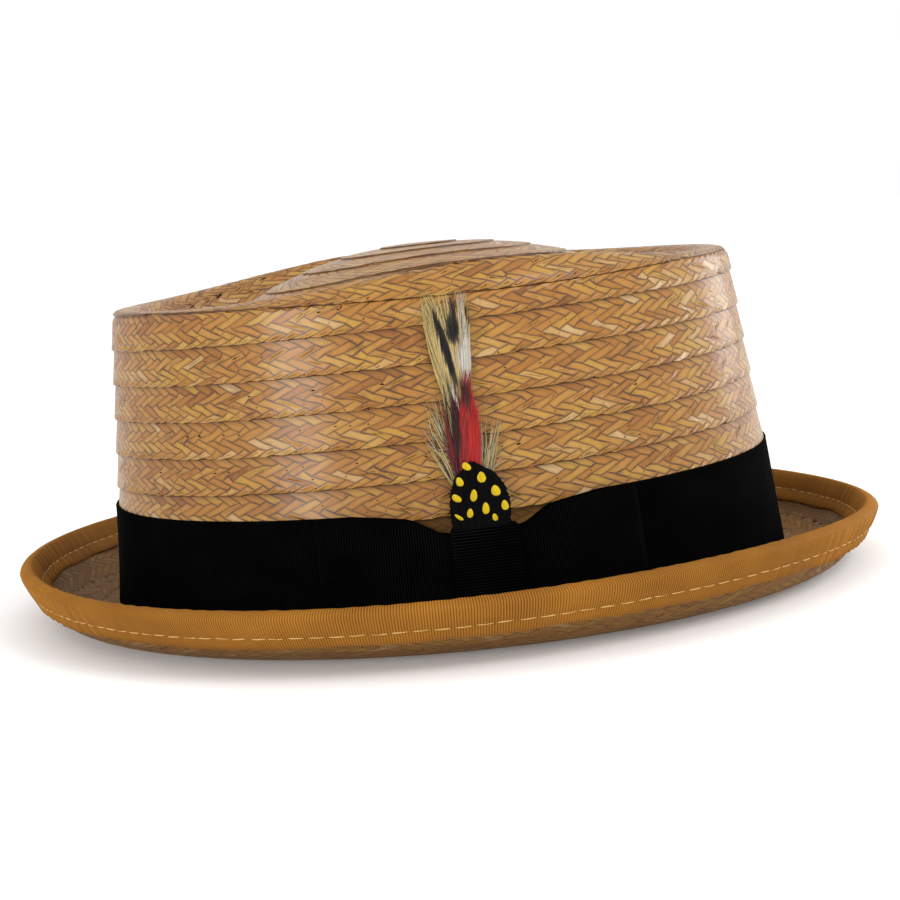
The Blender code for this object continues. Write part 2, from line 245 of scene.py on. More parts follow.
@dataclass(frozen=True)
class StrawFinish:
    """Glossy plaited straw: each strand has its own tone, with painted shade in the grooves between strands,
    toward the strands' ends and under each row's covering edge.
    """

    name: str = "plaited_straw"
    tones: Stops = (
        (0.00, (0.215, 0.072, 0.009)),
        (0.20, (0.305, 0.114, 0.012)),
        (0.42, (0.379, 0.158, 0.018)),
        (0.60, (0.409, 0.191, 0.032)),
        (0.76, (0.441, 0.231, 0.026)),
        (0.90, (0.463, 0.262, 0.084)),
        (1.00, (0.520, 0.327, 0.141)),
    )
    # Colour of the painted shade in the grooves, at the strands' ends and under the row edges.
    groove: Triple = (0.060, 0.022, 0.006)
    stain: Triple = (0.16, 0.07, 0.02)
    # Colour of the painted shade in the shaded, matt copy.
    shadow: Triple = (0.115, 0.062, 0.026)
    fibre_tone: float = 0.34
    patch_tone: float = 0.55
    # Share of painted shade toward the shadow colour; it also makes the straw matt.
    shade_and_matte: float = 0.0
    coat: float = 0.34
    specular: float = 0.28

    def material(self) -> bpy.types.Material:
        """Builds the material.

        Returns:
            The material with its shader fed.
        """
        made = Finish(self.name)
        grain = made.grain()
        place = made.place()
        fibres = made.noise(grain, (5200.0, 260.0, 1.0), 3.0)
        patches = made.noise(place, (38.0, 38.0, 60.0))
        tone = made.attribute("tone") + (fibres - 0.5) * self.fibre_tone + (patches - 0.5) * self.patch_tone
        colour = made.ramp(tone.clamped(), list(self.tones))
        flecks = made.noise(place, (900.0, 900.0, 900.0), 1.0)
        stains = ((flecks - 0.70) * 9.0).clamped()
        colour = made.blend(stains * 0.5, colour, self.stain)
        # Painted shade: darker in the grooves between strands and toward the strands' ends, broken up by
        # noise.
        gaps = made.noise(place, (230.0, 230.0, 230.0))
        crest = made.attribute("crest")
        depth = (crest * 1.15 + (0.52 - gaps) * 1.8 + 0.22).clamped()
        colour = made.blend((1.0 - crest).clamped() * 0.62, colour, self.groove)
        colour = made.blend(depth, self.groove, colour)
        # Painted shade on the part of each row tucked under the covering edge of the row above.
        shade = ((1.0 - made.attribute("lap")) * 0.45).clamped()
        colour = made.blend(shade, colour, self.groove)
        # Painted shade: the shaded copy is darkened toward the shadow colour.
        if self.shade_and_matte:
            colour = made.blend(self.shade_and_matte, colour, self.shadow)
        rough = 0.40 + fibres * 0.22 + self.shade_and_matte * 0.3
        relief = made.bump(fibres, 0.00006, 0.8)
        return made.dress(
            Base_Color=colour, Roughness=rough, Normal=relief, Coat_Weight=self.coat * (1 - self.shade_and_matte) ** 2,
            Coat_Roughness=0.20, Specular_IOR_Level=self.specular * (1 - self.shade_and_matte),
        )


@dataclass(frozen=True)
class RibbonFinish:
    """Ribbed ribbon with a soft sheen; ribs are in the mesh, with painted shade between them, threads and
    wear in the material.
    """

    name: str
    light: Triple
    dark: Triple
    roughness: float
    sheen: float
    specular: float = 0.3
    base: float = 0.2

    def material(self) -> bpy.types.Material:
        """Builds the material.

        Returns:
            The material with its shader fed.
        """
        made = Finish(self.name)
        grain = made.grain()
        threads = made.noise(grain, (1500.0, 9000.0, 1.0))
        patches = made.noise(made.place(), (55.0, 55.0, 90.0))
        # Painted shade: lighter on the ribs' tops, darker between them.
        rib = made.attribute("crest").clamped()
        share = (rib * 0.65 + (threads - 0.5) * 0.5 + (patches - 0.5) * 0.35 + self.base).clamped()
        colour = made.blend(share, self.dark, self.light)
        relief = made.bump(threads, 0.00005, 0.7)
        return made.dress(
            Base_Color=colour, Roughness=self.roughness + (threads - 0.5) * 0.2, Normal=relief,
            Sheen_Weight=self.sheen, Sheen_Roughness=0.4, Specular_IOR_Level=self.specular,
        )


@dataclass(frozen=True)
class ThreadFinish:
    """Twisted sewing thread."""

    name: str = "binding_thread"
    colour: Triple = (0.66, 0.42, 0.13)
    twist: Triple = (0.42, 0.22, 0.06)

    def material(self) -> bpy.types.Material:
        """Builds the material.

        Returns:
            The material with its shader fed.
        """
        made = Finish(self.name)
        strands = made.noise(made.place(), (2500.0, 2500.0, 2500.0), 1.0)
        colour = made.blend((strands * 0.6).clamped(), self.colour, self.twist)
        return made.dress(Base_Color=colour, Roughness=0.45 + strands * 0.2)


@dataclass(frozen=True)
class PlumeFinish:
    """Feather barbs, coloured by numbers stored on the mesh."""

    name: str
    stops: Stops
    sheen: float = 0.12
    specular: float = 0.15
    shadow: Triple = (0.02, 0.015, 0.01)

    def material(self) -> bpy.types.Material:
        """Builds the material.

        Returns:
            The material with its shader fed.
        """
        made = Finish(self.name)
        streaks = made.noise(made.place(), (2600.0, 2600.0, 240.0))
        tone = made.attribute("tone")
        colour = made.ramp(tone.clamped(), list(self.stops))
        streak = ((streaks - 0.42) * 1.6).clamped() * 0.55
        colour = made.blend(streak, colour, self.shadow, "MULTIPLY")
        return made.dress(
            Base_Color=colour, Roughness=0.5 + streaks * 0.2, Sheen_Weight=self.sheen,
            Specular_IOR_Level=self.specular,
        )


@dataclass(frozen=True)
class FloorFinish:
    """Matt white sweep."""

    name: str = "studio_floor"
    glow: float = 0.12

    def material(self) -> bpy.types.Material:
        """Builds the material.

        Returns:
            The material with its shader fed.
        """
        made = Finish(self.name)
        clouds = made.noise(made.place(), (3.0, 3.0, 3.0))
        colour = made.blend((clouds * 0.3).clamped(), (0.95, 0.95, 0.95), (0.92, 0.92, 0.92))
        white = (1.0, 1.0, 1.0)
        return made.dress(Base_Color=colour, Roughness=0.8, Emission_Color=white, Emission_Strength=self.glow)


# The hat's form


def smooth_path(points: Array, per: int) -> Array:
    """Runs a smooth curve through points.

    Args:
        points: array of paths, (paths, points, values).
        per: steps between two points.

    Returns:
        The curves as (paths, steps, values).
    """
    before = np.concatenate([points[:, :1] * 2 - points[:, 1:2], points[:, :-1]], axis=1)
    after = np.concatenate([points[:, 1:], points[:, -1:] * 2 - points[:, -2:-1]], axis=1)
    slope = (after - before) / 2
    steps = []
    for i in range(points.shape[1] - 1):
        for step in range(per):
            t = step / per
            steps.append(
                (2 * t**3 - 3 * t**2 + 1) * points[:, i]
                + (t**3 - 2 * t**2 + t) * slope[:, i]
                + (3 * t**2 - 2 * t**3) * points[:, i + 1]
                + (t**3 - t**2) * slope[:, i + 1]
            )
    steps.append(points[:, -1])
    return np.stack(steps, axis=1)


@dataclass
class HatForm:
    """The hat's outer face as an oval profile that changes round the hat.

    A place on it is an angle from +X and a profile place: a section's number plus a share of its run.
    """

    crown_length: float = 0.2030
    crown_width: float = 0.1730
    ridge_height: float = 0.0920
    ridge_end_drop: float = 0.0020
    wall_taper: float = 0.0087
    crown_lean: float = 0.0037
    crown_tilt: float = 0.028
    straw_wall: float = 0.0020
    rim_rise_side: float = 0.0068
    rim_rise_end: float = 0.0006
    rim_side_sharpness: int = 5
    crease_inset: float = 0.0200
    crease_depth: float = 0.0095
    crease_depth_front: float = 0.0055
    tip_rise: float = 0.0108
    tip_roundness: float = 2.2
    brim_reach_side: float = 0.0380
    brim_reach_end: float = 0.0287
    brim_fore_reach: float = 0.0024
    edge_height_side: float = 0.0194
    edge_height_front: float = 0.0181
    edge_height_back: float = 0.0162
    edge_quarter_lift: float = 0.0004
    edge_slope: float = math.radians(62)
    seat_start: float = 0.0045
    seat_width: float = 0.0070
    belly_lift_front: float = 0.0015
    belly_run_share: float = 0.60
    lip_share: float = 0.55
    fold: float = 0.0011
    band_foot: float = 0.0050
    full_length: float = 0.26061
    angles: int = 360
    steps: int = 40
    scale: float = 1.0
    table: Array = field(default_factory=lambda: np.zeros((0, 0, 0)))
    runs: Array = field(default_factory=lambda: np.zeros((0, 0)))

    def __post_init__(self) -> None:
        """Takes the scale from the frame and fills the table of the profile."""
        low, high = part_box("brim_binding")
        self.scale = (high.x - low.x) / self.full_length
        theta = np.arange(self.angles) / self.angles * TURN
        parts = [self._tip(theta), self._rim(theta), self._wall(theta), self._seat(theta), self._brim(theta)]
        evened = [self._even(part) for part in parts]
        self.table = np.concatenate([part[0][:, :-1] for part in evened[:-1]] + [evened[-1][0]], axis=1)
        self.runs = np.stack([part[1] for part in evened], axis=1)

    @property
    def crown_girth(self) -> float:
        """Length round the crown's foot."""
        return math.pi * (self.crown_length + self.crown_width) / 2

    def _even(self, path: Array) -> tuple[Array, Array]:
        """Spaces a section's stations evenly and measures its run.

        Args:
            path: rings as (angles, stations, values).

        Returns:
            The section with evenly spaced stations, and its run at each angle.
        """
        radius = (path[..., 0] + path[..., 1]) / 2
        hops = np.hypot(np.diff(radius, axis=1), np.diff(path[..., 2], axis=1))
        far = np.concatenate([np.zeros((len(path), 1)), np.cumsum(hops, axis=1)], axis=1)
        evened = np.zeros((len(path), self.steps + 1, path.shape[2]))
        for i in range(len(path)):
            want = np.linspace(0, far[i, -1], self.steps + 1)
            for k in range(path.shape[2]):
                evened[i, :, k] = np.interp(want, far[i], path[i, :, k])
        return evened, far[:, -1]

    def _rise(self, theta: Array) -> Array:
        """Rise of the rim's crest over the ridge."""
        side = np.abs(np.sin(theta)) ** self.rim_side_sharpness
        return self.rim_rise_end + (self.rim_rise_side - self.rim_rise_end) * side

    def _dip(self, theta: Array) -> Array:
        """Depth of the crease under the rim's crest."""
        return self.crease_depth + self.crease_depth_front * np.maximum(0.0, -np.cos(theta)) ** 2

    def ridge(self, theta: Array) -> Array:
        """Height of the ridge between the crown's side and the rim."""
        return self.ridge_height - self.ridge_end_drop * np.cos(theta) ** 4

    def _station(self, theta: Array, out: object, height: object, share: object) -> Array:
        """One ring of the profile as length, width, height and share of the crown's lean.

        Args:
            theta: angles from +X.
            out: distance out of the crown's foot line.
            height: height over the floor.
            share: share of the crown's lean.

        Returns:
            Length, width, height and share at each angle.
        """
        reach = out - self.wall_taper * np.minimum(share, 1.0)
        length = self.crown_length / 2 + reach + 0 * theta
        width = self.crown_width / 2 + reach + 0 * theta
        return np.stack([length, width, height + 0 * theta, share + 0 * theta], axis=-1)

    def _tip(self, theta: Array) -> Array:
        """The domed tip from its middle to the crease.

        Args:
            theta: angles from +X.

        Returns:
            Rings as (angles, stations, values): length, width, height and share of the lean.
        """
        share = np.linspace(0, 1, 80)[None, :]
        crease = (self.ridge_height + self._rise(theta) - self._dip(theta))[:, None]
        middle = self.ridge_height + self.tip_rise
        inset = self.wall_taper + self.crease_inset
        length = (self.crown_length / 2 - inset) * share + 0 * crease
        width = (self.crown_width / 2 - inset) * share + 0 * crease
        height = middle - (middle - crease) * share**self.tip_roundness
        return np.stack([length, width, height, np.ones_like(height)], axis=-1)

    def _rim(self, theta: Array) -> Array:
        """The rim from the crease outward over its crest to the ridge.

        Args:
            theta: angles from +X.

        Returns:
            Rings as (angles, stations, values): length, width, height and share of the lean.
        """
        rise, dip = self._rise(theta), self._dip(theta)
        # Inset as a share of the crease's, rise and dip as shares of the rim's and the crease's
        rows = ((1.0, 1.0, 1.0), (0.72, 1.0, 0.66), (0.42, 1.0, 0.12), (0.24, 1.0, 0.0), (0.06, 0.34, 0.0))
        rings = []
        for inset, up, down in rows:
            height = self.ridge_height + up * rise - down * dip
            rings.append(self._station(theta, -inset * self.crease_inset, height, 1.0))
        rings.append(self._station(theta, 0.0, self.ridge(theta), 1.0))
        return smooth_path(np.stack(rings, axis=1), 12)

    def _wall(self, theta: Array) -> Array:
        """The crown's side from the ridge down to the band's foot.

        Args:
            theta: angles from +X.

        Returns:
            Rings as (angles, stations, values): length, width, height and share of the lean.
        """
        top = self.ridge(theta)
        rings = []
        for share in np.linspace(0, 1, 24):
            height = top + (self.band_foot - top) * share
            rings.append(self._station(theta, 0.0, height, height / self.ridge_height))
        return np.stack(rings, axis=1)

    def _seat(self, theta: Array) -> Array:
        """The fillet and the flat ring that the hat rests on.

        Args:
            theta: angles from +X.

        Returns:
            Rings as (angles, stations, values): length, width, height and share of the lean.
        """
        wall = self.straw_wall
        seat_end = self.seat_start + self.seat_width
        foot = self.band_foot / self.ridge_height
        # Distance from the wall, height and share of the crown's lean
        rows = (
            (0.0, self.band_foot, foot), (0.3 * wall, 1.35 * wall, 0.0), (self.seat_start, wall, 0.0),
            (seat_end, wall, 0.0),
        )
        return smooth_path(np.stack([self._station(theta, *row) for row in rows], axis=1), 10)

    def _brim(self, theta: Array) -> Array:
        """The upturned brim out to the straw's edge.

        Args:
            theta: angles from +X.

        Returns:
            Rings as (angles, stations, values): length, width, height and share of the lean.
        """
        swing = np.cos(theta) - np.cos(3 * theta)
        side = np.sin(theta) ** 2
        reach = self.brim_reach_end + (self.brim_reach_side - self.brim_reach_end) * side
        fall, climb = math.cos(self.edge_slope), math.sin(self.edge_slope)
        reach = reach - self.brim_fore_reach * swing - (self.straw_wall + self.fold) * climb
        ends = (self.edge_height_front + self.edge_height_back) / 2
        ends = ends + (self.edge_height_back - self.edge_height_front) / 2 * np.cos(theta)
        height = ends + (self.edge_height_side - ends) * side + self.edge_quarter_lift * swing
        height = height - self.fold * climb
        seat_end = self.seat_start + self.seat_width
        belly = self.straw_wall + self.belly_lift_front * (1 - np.cos(theta)) / 2
        lip = self.lip_share * (height - self.straw_wall)
        corners = (
            (seat_end, self.straw_wall),
            (seat_end + self.belly_run_share * (reach - seat_end), belly),
            (reach - lip * fall, height - lip * climb),
            (reach, height),
        )
        rings = []
        for t in np.linspace(0, 1, 40):
            weights = ((1 - t) ** 3, 3 * (1 - t) ** 2 * t, 3 * (1 - t) * t**2, t**3)
            out, up = (sum(weight * corner[k] for weight, corner in zip(weights, corners)) for k in (0, 1))
            rings.append(self._station(theta, out, up, 0.0))
        return np.stack(rings, axis=1)

    def _look_up(self, grid: Array, theta: Array, column: Array) -> Array:
        """Reads a table between its entries, round the hat and along the profile.

        Args:
            grid: table as (angles, columns, values).
            theta: angles from +X.
            column: places between columns.

        Returns:
            The values between the entries.
        """
        turn = np.mod(theta, TURN) / TURN * self.angles
        i = np.floor(turn).astype(int) % self.angles
        a = (turn - np.floor(turn))[..., None]
        k = np.clip(np.floor(column).astype(int), 0, grid.shape[1] - 2)
        b = np.clip(column - k, 0.0, 1.0)[..., None]
        j = (i + 1) % self.angles
        first = grid[i, k] * (1 - b) + grid[i, k + 1] * b
        second = grid[j, k] * (1 - b) + grid[j, k + 1] * b
        return first * (1 - a) + second * a

    def run(self, theta: Array, section: Section) -> Array:
        """Length of a section's run at each angle."""
        grid = self.runs[:, [section.value, section.value]]
        return self._look_up(grid[..., None], theta, 0 * theta)[..., 0]

    def point(self, theta: Array, place: Array) -> Array:
        """World place of a profile place, without the frame's scale.

        Args:
            theta: angles from +X.
            place: profile places.

        Returns:
            Places in the frame's own unscaled metres.
        """
        ring = self._look_up(self.table, theta, place * self.steps)
        share = ring[..., 3]
        x = ring[..., 0] * np.cos(theta) - self.crown_lean * share
        y = ring[..., 1] * np.sin(theta)
        z = ring[..., 2] + self.crown_tilt * np.sqrt(np.clip(share, 0, None)) * x
        return np.stack([x, y, z], axis=-1)

    def surface(self, theta: Array, place: Array, out: object = 0.0, beyond: object = 0.0) -> Array:
        """A world place off the straw's outer face.

        Args:
            theta: angles from +X.
            place: profile places.
            out: distances out of the face.
            beyond: distances past the place along the profile, toward the brim.

        Returns:
            World places in metres.
        """
        theta, place = np.broadcast_arrays(np.asarray(theta, float), np.asarray(place, float))
        here = self.point(theta, place)
        last = len(Section)
        step, swing = 0.02, 0.004
        safe = np.clip(place, 2 * step, last)
        ahead = self.point(theta, np.minimum(safe + step, last))
        ahead = ahead - self.point(theta, np.maximum(safe - step, 0))
        turn = self.point(theta + swing, safe) - self.point(theta - swing, safe)
        normal = np.cross(ahead, turn)
        normal /= np.linalg.norm(normal, axis=-1, keepdims=True)
        ahead /= np.linalg.norm(ahead, axis=-1, keepdims=True)
        moved = here + normal * np.asarray(out)[..., None] + ahead * np.asarray(beyond)[..., None]
        return moved * self.scale

    def crown_place(self, theta: Array, rise: Array) -> Array:
        """Profile place for a distance along the crown from the ridge, down the side where negative.

        Args:
            theta: angles from +X.
            rise: distances from the ridge, toward the tip where positive.

        Returns:
            Profile places.
        """
        wall = self.run(theta, Section.WALL)
        rim = self.run(theta, Section.RIM)
        tip = self.run(theta, Section.TIP)
        down = 2 - rise / wall
        up = np.where(rise <= rim, 2 - rise / rim, 1 - (rise - rim) / tip)
        return np.clip(np.where(rise < 0, down, up), 0.0, 3.0)

    def brim_place(self, theta: Array, out: Array) -> Array:
        """Profile place for a distance along the brim from the crown's foot.

        Args:
            theta: angles from +X.
            out: distances from the crown's foot.

        Returns:
            Profile places.
        """
        seat = self.run(theta, Section.SEAT)
        brim = self.run(theta, Section.BRIM)
        return np.where(out < seat, 3 + out / seat, np.minimum(4 + (out - seat) / brim, 5.0))

    def wall_place(self, theta: Array, height: Array) -> Array:
        """Profile place for a height on the crown's side."""
        top = self.ridge(theta)
        return 2 + (top - height) / (top - self.band_foot)


def coordinates(form: Form) -> Array:
    """All vertices of a working mesh as an array."""
    return np.array([vert.co for vert in form.verts], float).reshape(-1, 3)


def set_coordinates(form: Form, places: Array) -> None:
    """Writes an array back to the vertices of a working mesh."""
    for vert, place in zip(form.verts, places):
        vert.co = place


def paint(verts: list, places: Array, layer: object, tones: Array) -> None:
    """Writes places and tones, held between 0 and 1, to vertices.

    Args:
        verts: the vertices.
        places: a place for each.
        layer: layer that holds the tones.
        tones: a tone for each.
    """
    for vert, place, tone in zip(verts, places, tones):
        vert.co = place
        vert[layer] = float(np.clip(tone, 0, 1))


def take_in(whole: Form, form: Form) -> None:
    """Moves a working mesh into another one, which uses the first up.

    Args:
        whole: working mesh that takes the other.
        form: the mesh that is used up.
    """
    spare = bpy.data.meshes.new("row")
    form.to_mesh(spare)
    form.free()
    whole.from_mesh(spare)
    bpy.data.meshes.remove(spare)


def even_loop(path: Array, rib: float) -> Array:
    """Spaces the points of a closed path evenly, two for each rib.

    Args:
        path: points, of which the first two values are lengths.
        rib: distance from one rib to the next.

    Returns:
        The spaced points.
    """
    ring = np.concatenate([path, path[:1]])
    hops = np.linalg.norm(np.diff(ring[:, :2], axis=0), axis=1)
    far = np.concatenate([[0.0], np.cumsum(hops)])
    want = np.linspace(0, far[-1], 2 * round(far[-1] / rib), endpoint=False)
    return np.stack([np.interp(want, far, ring[:, k]) for k in range(ring.shape[1])], axis=1)


def beside(line: Array, reach: int) -> Array:
    """Unit steps to the left of a closed line, each from the points so far before and after.

    Args:
        line: points of the closed line.
        reach: how many points away the two neighbours are.

    Returns:
        One step for each point.
    """
    run = np.roll(line, -reach, axis=0)[:, :2] - np.roll(line, reach, axis=0)[:, :2]
    run /= np.linalg.norm(run, axis=1, keepdims=True)
    return np.stack([-run[:, 1], run[:, 0]], axis=1)


def finish_piece(
    form: Form,
    name: str,
    material: bpy.types.Material,
    slot: str,
    nodes: tuple[str, ...],
    outward: bool = False,
) -> bpy.types.Object:
    """Turns a working mesh into a piece that rides on the frame.

    Args:
        form: the working mesh, which is used up.
        name: the piece's name.
        material: its material.
        slot: the record's material slot; not used.
        nodes: the CAD nodes that it stands for.
        outward: whether its faces are turned outward as a closed shell.

    Returns:
        The piece.
    """
    if outward:
        bmesh.ops.recalc_face_normals(form, faces=form.faces)
    for face in form.faces:
        face.smooth = True
    mesh = bpy.data.meshes.new(name)
    form.to_mesh(mesh)
    form.free()
    mesh.materials.append(material)
    piece = bpy.data.objects.new(name, mesh)
    bpy.context.scene.collection.objects.link(piece)
    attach(piece, "root")
    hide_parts(*nodes)
    mesh.calc_loop_triangles()
    LOG.info("%s: %d triangles", name, len(mesh.loop_triangles))
    return piece


# Straw


@dataclass(frozen=True)
class Lane:
    """One lane of lozenges in a braid row."""

    name: str
    start: float
    slant: float
    pale: float


@dataclass
class StrawBody:
    """The plait of crown and brim: lozenges in four lanes for each sewn row."""

    form: HatForm
    pitch: float = 0.0102
    strand: float = 0.00450
    row_step: float = 0.0007
    first_row_drop: float = 0.0079
    rear_ridge_lift: float = 0.0020
    front_ridge_lift: float = 0.0028
    side_ridge_drop: float = 0.0011
    lozenge_rise: float = 0.00030
    lozenge_edge: float = 0.00042
    crown_rise: float = 0.00022
    crown_edge: float = 0.00060
    stray: float = 0.055
    tooth: float = 0.055
    end_shade: float = 0.42
    foot_lap: float = 0.0004
    outer_turns: float = 5.75
    inner_turns: float = 8.4
    last_turn: float = 0.80
    ridge_cover: float = 0.0030
    under_rim: float = 0.0001
    brim_rows: int = 4
    binding_cover: float = 0.0062
    rim_rows: int = 3
    tip_rows: int = 6
    tip_step: float = 0.0004
    lanes: tuple[Lane, ...] = (
        Lane("tucked", -0.12, -1.12, -0.04),
        Lane("long", 0.22, 0.99, -0.02),
        Lane("short", 0.52, -0.92, 0.12),
        Lane("selvedge", 0.80, 0.66, 0.06),
        Lane("edge wall", 1.00, 0.00, -0.10),
    )

    def strip(self, columns: int, seed: int) -> tuple[Form, Array]:
        """Makes a flat strip of plait in strands along X, row shares along Y and rise along Z.

        Args:
            columns: strands along the strip.
            seed: start of the random tones.

        Returns:
            The working mesh and its coordinates.
        """
        chance = np.random.default_rng(seed)
        count = len(self.lanes)
        form = bmesh.new()
        bmesh.ops.create_grid(form, x_segments=2 * columns, y_segments=count, size=1.0)
        flat = coordinates(form)
        across = np.rint((flat[:, 0] + 1) * columns).astype(int)
        level = np.rint((1 - flat[:, 1]) / 2 * count).astype(int)
        starts = np.array([lane.start for lane in self.lanes] + [1.02])
        shifts = np.concatenate([[0.0], -np.cumsum([lane.slant for lane in self.lanes])])
        tooth = self.tooth * np.where((across + level) % 2 == 0, 1.0, -1.0)
        tooth[(level == 0) | (level >= count)] = 0.0
        tooth[level == count - 1] *= 0.35
        stray = chance.normal(0.0, self.stray, (2 * columns + 1, count + 1, 2))
        stray[-1] = stray[0]
        still = (level == 0) | (level >= count)
        flat[:, 0] = across / 2 + shifts[level] + stray[across, level, 0] * 1.4
        flat[:, 1] = starts[level] + tooth + np.where(still, 0.0, stray[across, level, 1] * 0.3)
        flat[:, 2] = np.where(level == count, -1.0, 0.0)
        set_coordinates(form, flat)
        spot = {(a, b): vert for a, b, vert in zip(across, level, form.verts)}
        idle = []
        for lane in range(count - 1):
            for column in range(1, 2 * columns):
                if column % 2 != lane % 2:
                    idle.append(form.edges.get((spot[column, lane], spot[column, lane + 1])))
        bmesh.ops.dissolve_edges(form, edges=idle, use_verts=False)
        tone = form.faces.layers.float.new("tone")
        # Crest share: 0 in the grooves, higher on the lozenges' tops; the material paints shade in the
        # grooves from it.
        crest = form.verts.layers.float.new("crest")
        grain = form.loops.layers.uv.new("grain")
        lozenges = []
        for face in form.faces:
            middle = sum(vert.co.y for vert in face.verts) / len(face.verts)
            lane = max(i for i in range(count) if i == 0 or self.lanes[i].start <= middle)
            face[tone] = float(np.clip(chance.normal(0.50, 0.17) + self.lanes[lane].pale, 0.02, 1.0))
            slant = self.lanes[lane].slant * self.strand
            run = Vector((slant, -0.4 * self.pitch)).normalized()
            shift = chance.random(2)
            for loop in face.loops:
                where = Vector((loop.vert.co.x * self.strand, loop.vert.co.y * self.pitch))
                loop[grain].uv = (where.cross(run) + shift[0], where.dot(run) + shift[1])
            if lane < count - 1:
                lozenges.append(face)
        for vert in form.verts:
            vert.co.x *= self.strand
            vert.co.y *= self.pitch
        bmesh.ops.inset_individual(
            form, faces=lozenges, thickness=self.lozenge_edge, depth=self.lozenge_rise, use_even_offset=False
        )
        for face in lozenges:
            for vert in face.verts:
                vert[crest] = 0.72
        bmesh.ops.inset_individual(
            form, faces=lozenges, thickness=self.crown_edge, depth=self.crown_rise, use_even_offset=False
        )
        for face in lozenges:
            lift = chance.uniform(-0.3, 0.3) * self.lozenge_rise
            lean = chance.uniform(-0.6, 0.6) * self.lozenge_rise
            middle = face.calc_center_median()
            longest = max((vert.co - middle).length for vert in face.verts)
            for vert in face.verts:
                # Painted shade toward the lozenge's ends, where the strand passes under its neighbour.
                end = ((vert.co - middle).length / longest) ** 4
                vert.co.z += lift + lean * (vert.co.x - middle.x) / self.strand
                vert[crest] = 1.0 - self.end_shade * end
        flat = coordinates(form)
        flat[:, 0] /= self.strand
        flat[:, 1] /= self.pitch
        return form, flat

    def lay(
        self,
        form: Form,
        flat: Array,
        columns: int,
        start: float,
        turn: float,
        place: PlaceRule,
        keep: PlaceRule | None = None,
        face: Face = Face.OUTSIDE,
        step: float | None = None,
    ) -> None:
        """Lays a flat strip on the hat.

        Args:
            form: the strip's working mesh.
            flat: its coordinates.
            columns: strands along the strip.
            start: angle where the strip starts.
            turn: angle that it covers.
            place: gives the profile place for an angle and a row share.
            keep: gives which vertices stay.
            face: face of the straw that it lies on.
            step: how far the row's covering edge stands out.
        """
        step = step or self.row_step
        # Share for the painted shade under the covering edge of the row above: small at the row's tucked top,
        # where the shade is deepest.
        lap = form.verts.layers.float.new("lap")
        theta = start + flat[:, 0] / columns * turn
        share = np.clip(flat[:, 1], -0.1, 1.0)
        level = step * np.clip(share, 0.0, 1.0)
        out = np.where(flat[:, 2] < -0.5, -0.0001, level + np.maximum(flat[:, 2], 0.0))
        sunk = step + self.lozenge_rise
        out = face.value * out - (self.form.straw_wall - sunk if face is Face.INSIDE else 0.0)
        world = self.form.surface(theta, place(theta, share), out)
        proud = self.form.surface(theta, place(theta, share), out + face.value * 0.001) - world
        stay = keep(theta, share) if keep else np.ones(len(flat), bool)
        gone = []
        for vert, spot, ramp, kept in zip(form.verts, world, share, stay):
            vert.co = spot
            vert[lap] = float(np.clip(ramp / 0.22 + 0.35, 0.0, 1.0))
            if not kept:
                gone.append(vert)
        form.verts.index_update()
        form.normal_update()
        facing = sum(side.normal.dot(Vector(proud[side.verts[0].index])) for side in form.faces)
        if facing < 0:
            bmesh.ops.reverse_faces(form, faces=form.faces)
        if gone:
            bmesh.ops.delete(form, geom=gone, context="VERTS")

    def ridge_seam(self, theta: Array) -> Array:
        """Distance above the ridge of the rim row's lower edge.

        Args:
            theta: angles from +X.

        Returns:
            The distances in metres.
        """
        front, rear = np.maximum(0.0, -np.cos(theta)), np.maximum(0.0, np.cos(theta))
        lifts = self.front_ridge_lift * front**3 + self.rear_ridge_lift * rear**2
        return lifts - self.side_ridge_drop * np.sin(theta) ** 4

    def spiral(self, theta: Array, share: Array) -> Array:
        """Distance from the ridge on the spiral of side rows, for an unrolled angle and a row share."""
        seam = -self.first_row_drop + self.pitch * (theta + math.pi / 2) / TURN
        return seam + (1 - share) * self.pitch

    def crown_side(self, face: Face, strand: float) -> Form:
        """The spiral of rows on the crown's side, from under the band to the ridge.

        Args:
            face: face of the straw.
            strand: width of a strand.

        Returns:
            The working mesh.
        """
        girth = math.pi * (self.form.crown_length + self.form.crown_width - 2 * self.form.wall_taper) / 2
        around = round(girth / strand)
        below = self.outer_turns if face is Face.OUTSIDE else self.inner_turns
        start = -below * TURN - math.pi / 2
        turns = self.last_turn + below
        columns = round(around * turns)
        form, flat = self.strip(columns, 11)

        def keep(theta: Array, share: Array) -> Array:
            """Whether a vertex lies below the rim row's cover."""
            return self.spiral(theta, share) < self.ridge_seam(theta) + self.ridge_cover

        def place(theta: Array, share: Array) -> Array:
            """Profile place on the spiral, held under the rim row.

            Args:
                theta: angles from +X.
                share: row shares.

            Returns:
                Profile places.
            """
            drop = self.form.ridge_end_drop * np.cos(theta) ** 4
            rise = np.minimum(self.spiral(theta, share) + drop, self.ridge_seam(theta) - self.under_rim)
            return self.form.crown_place(theta, rise)

        self.lay(form, flat, columns, start, turns * TURN, place, keep, face)
        return form

    def rings(
        self, seams: list[Seam], to_place: Callable, face: Face, strand: float, seed: int,
        step: float | None = None,
    ) -> Form:
        """Closed rows between seams.

        Args:
            seams: distances of the seams, from the covering edge of the first row inward or outward.
            to_place: turns an angle and a distance into a profile place.
            face: face of the straw.
            strand: width of a strand.
            seed: start of the random tones.
            step: how far a covering edge stands out.

        Returns:
            The rows as one working mesh.
        """
        whole = bmesh.new()
        start = math.pi / 2
        sample = np.linspace(0, TURN, 90, endpoint=False)
        for row, (edge, top) in enumerate(zip(seams, seams[1:])):
            ring = self.form.surface(sample, to_place(sample, (edge(sample) + top(sample)) / 2))
            girth = np.linalg.norm(ring - np.roll(ring, 1, axis=0), axis=1).sum()
            columns = max(8, round(girth / strand))
            form, flat = self.strip(columns, seed + row)

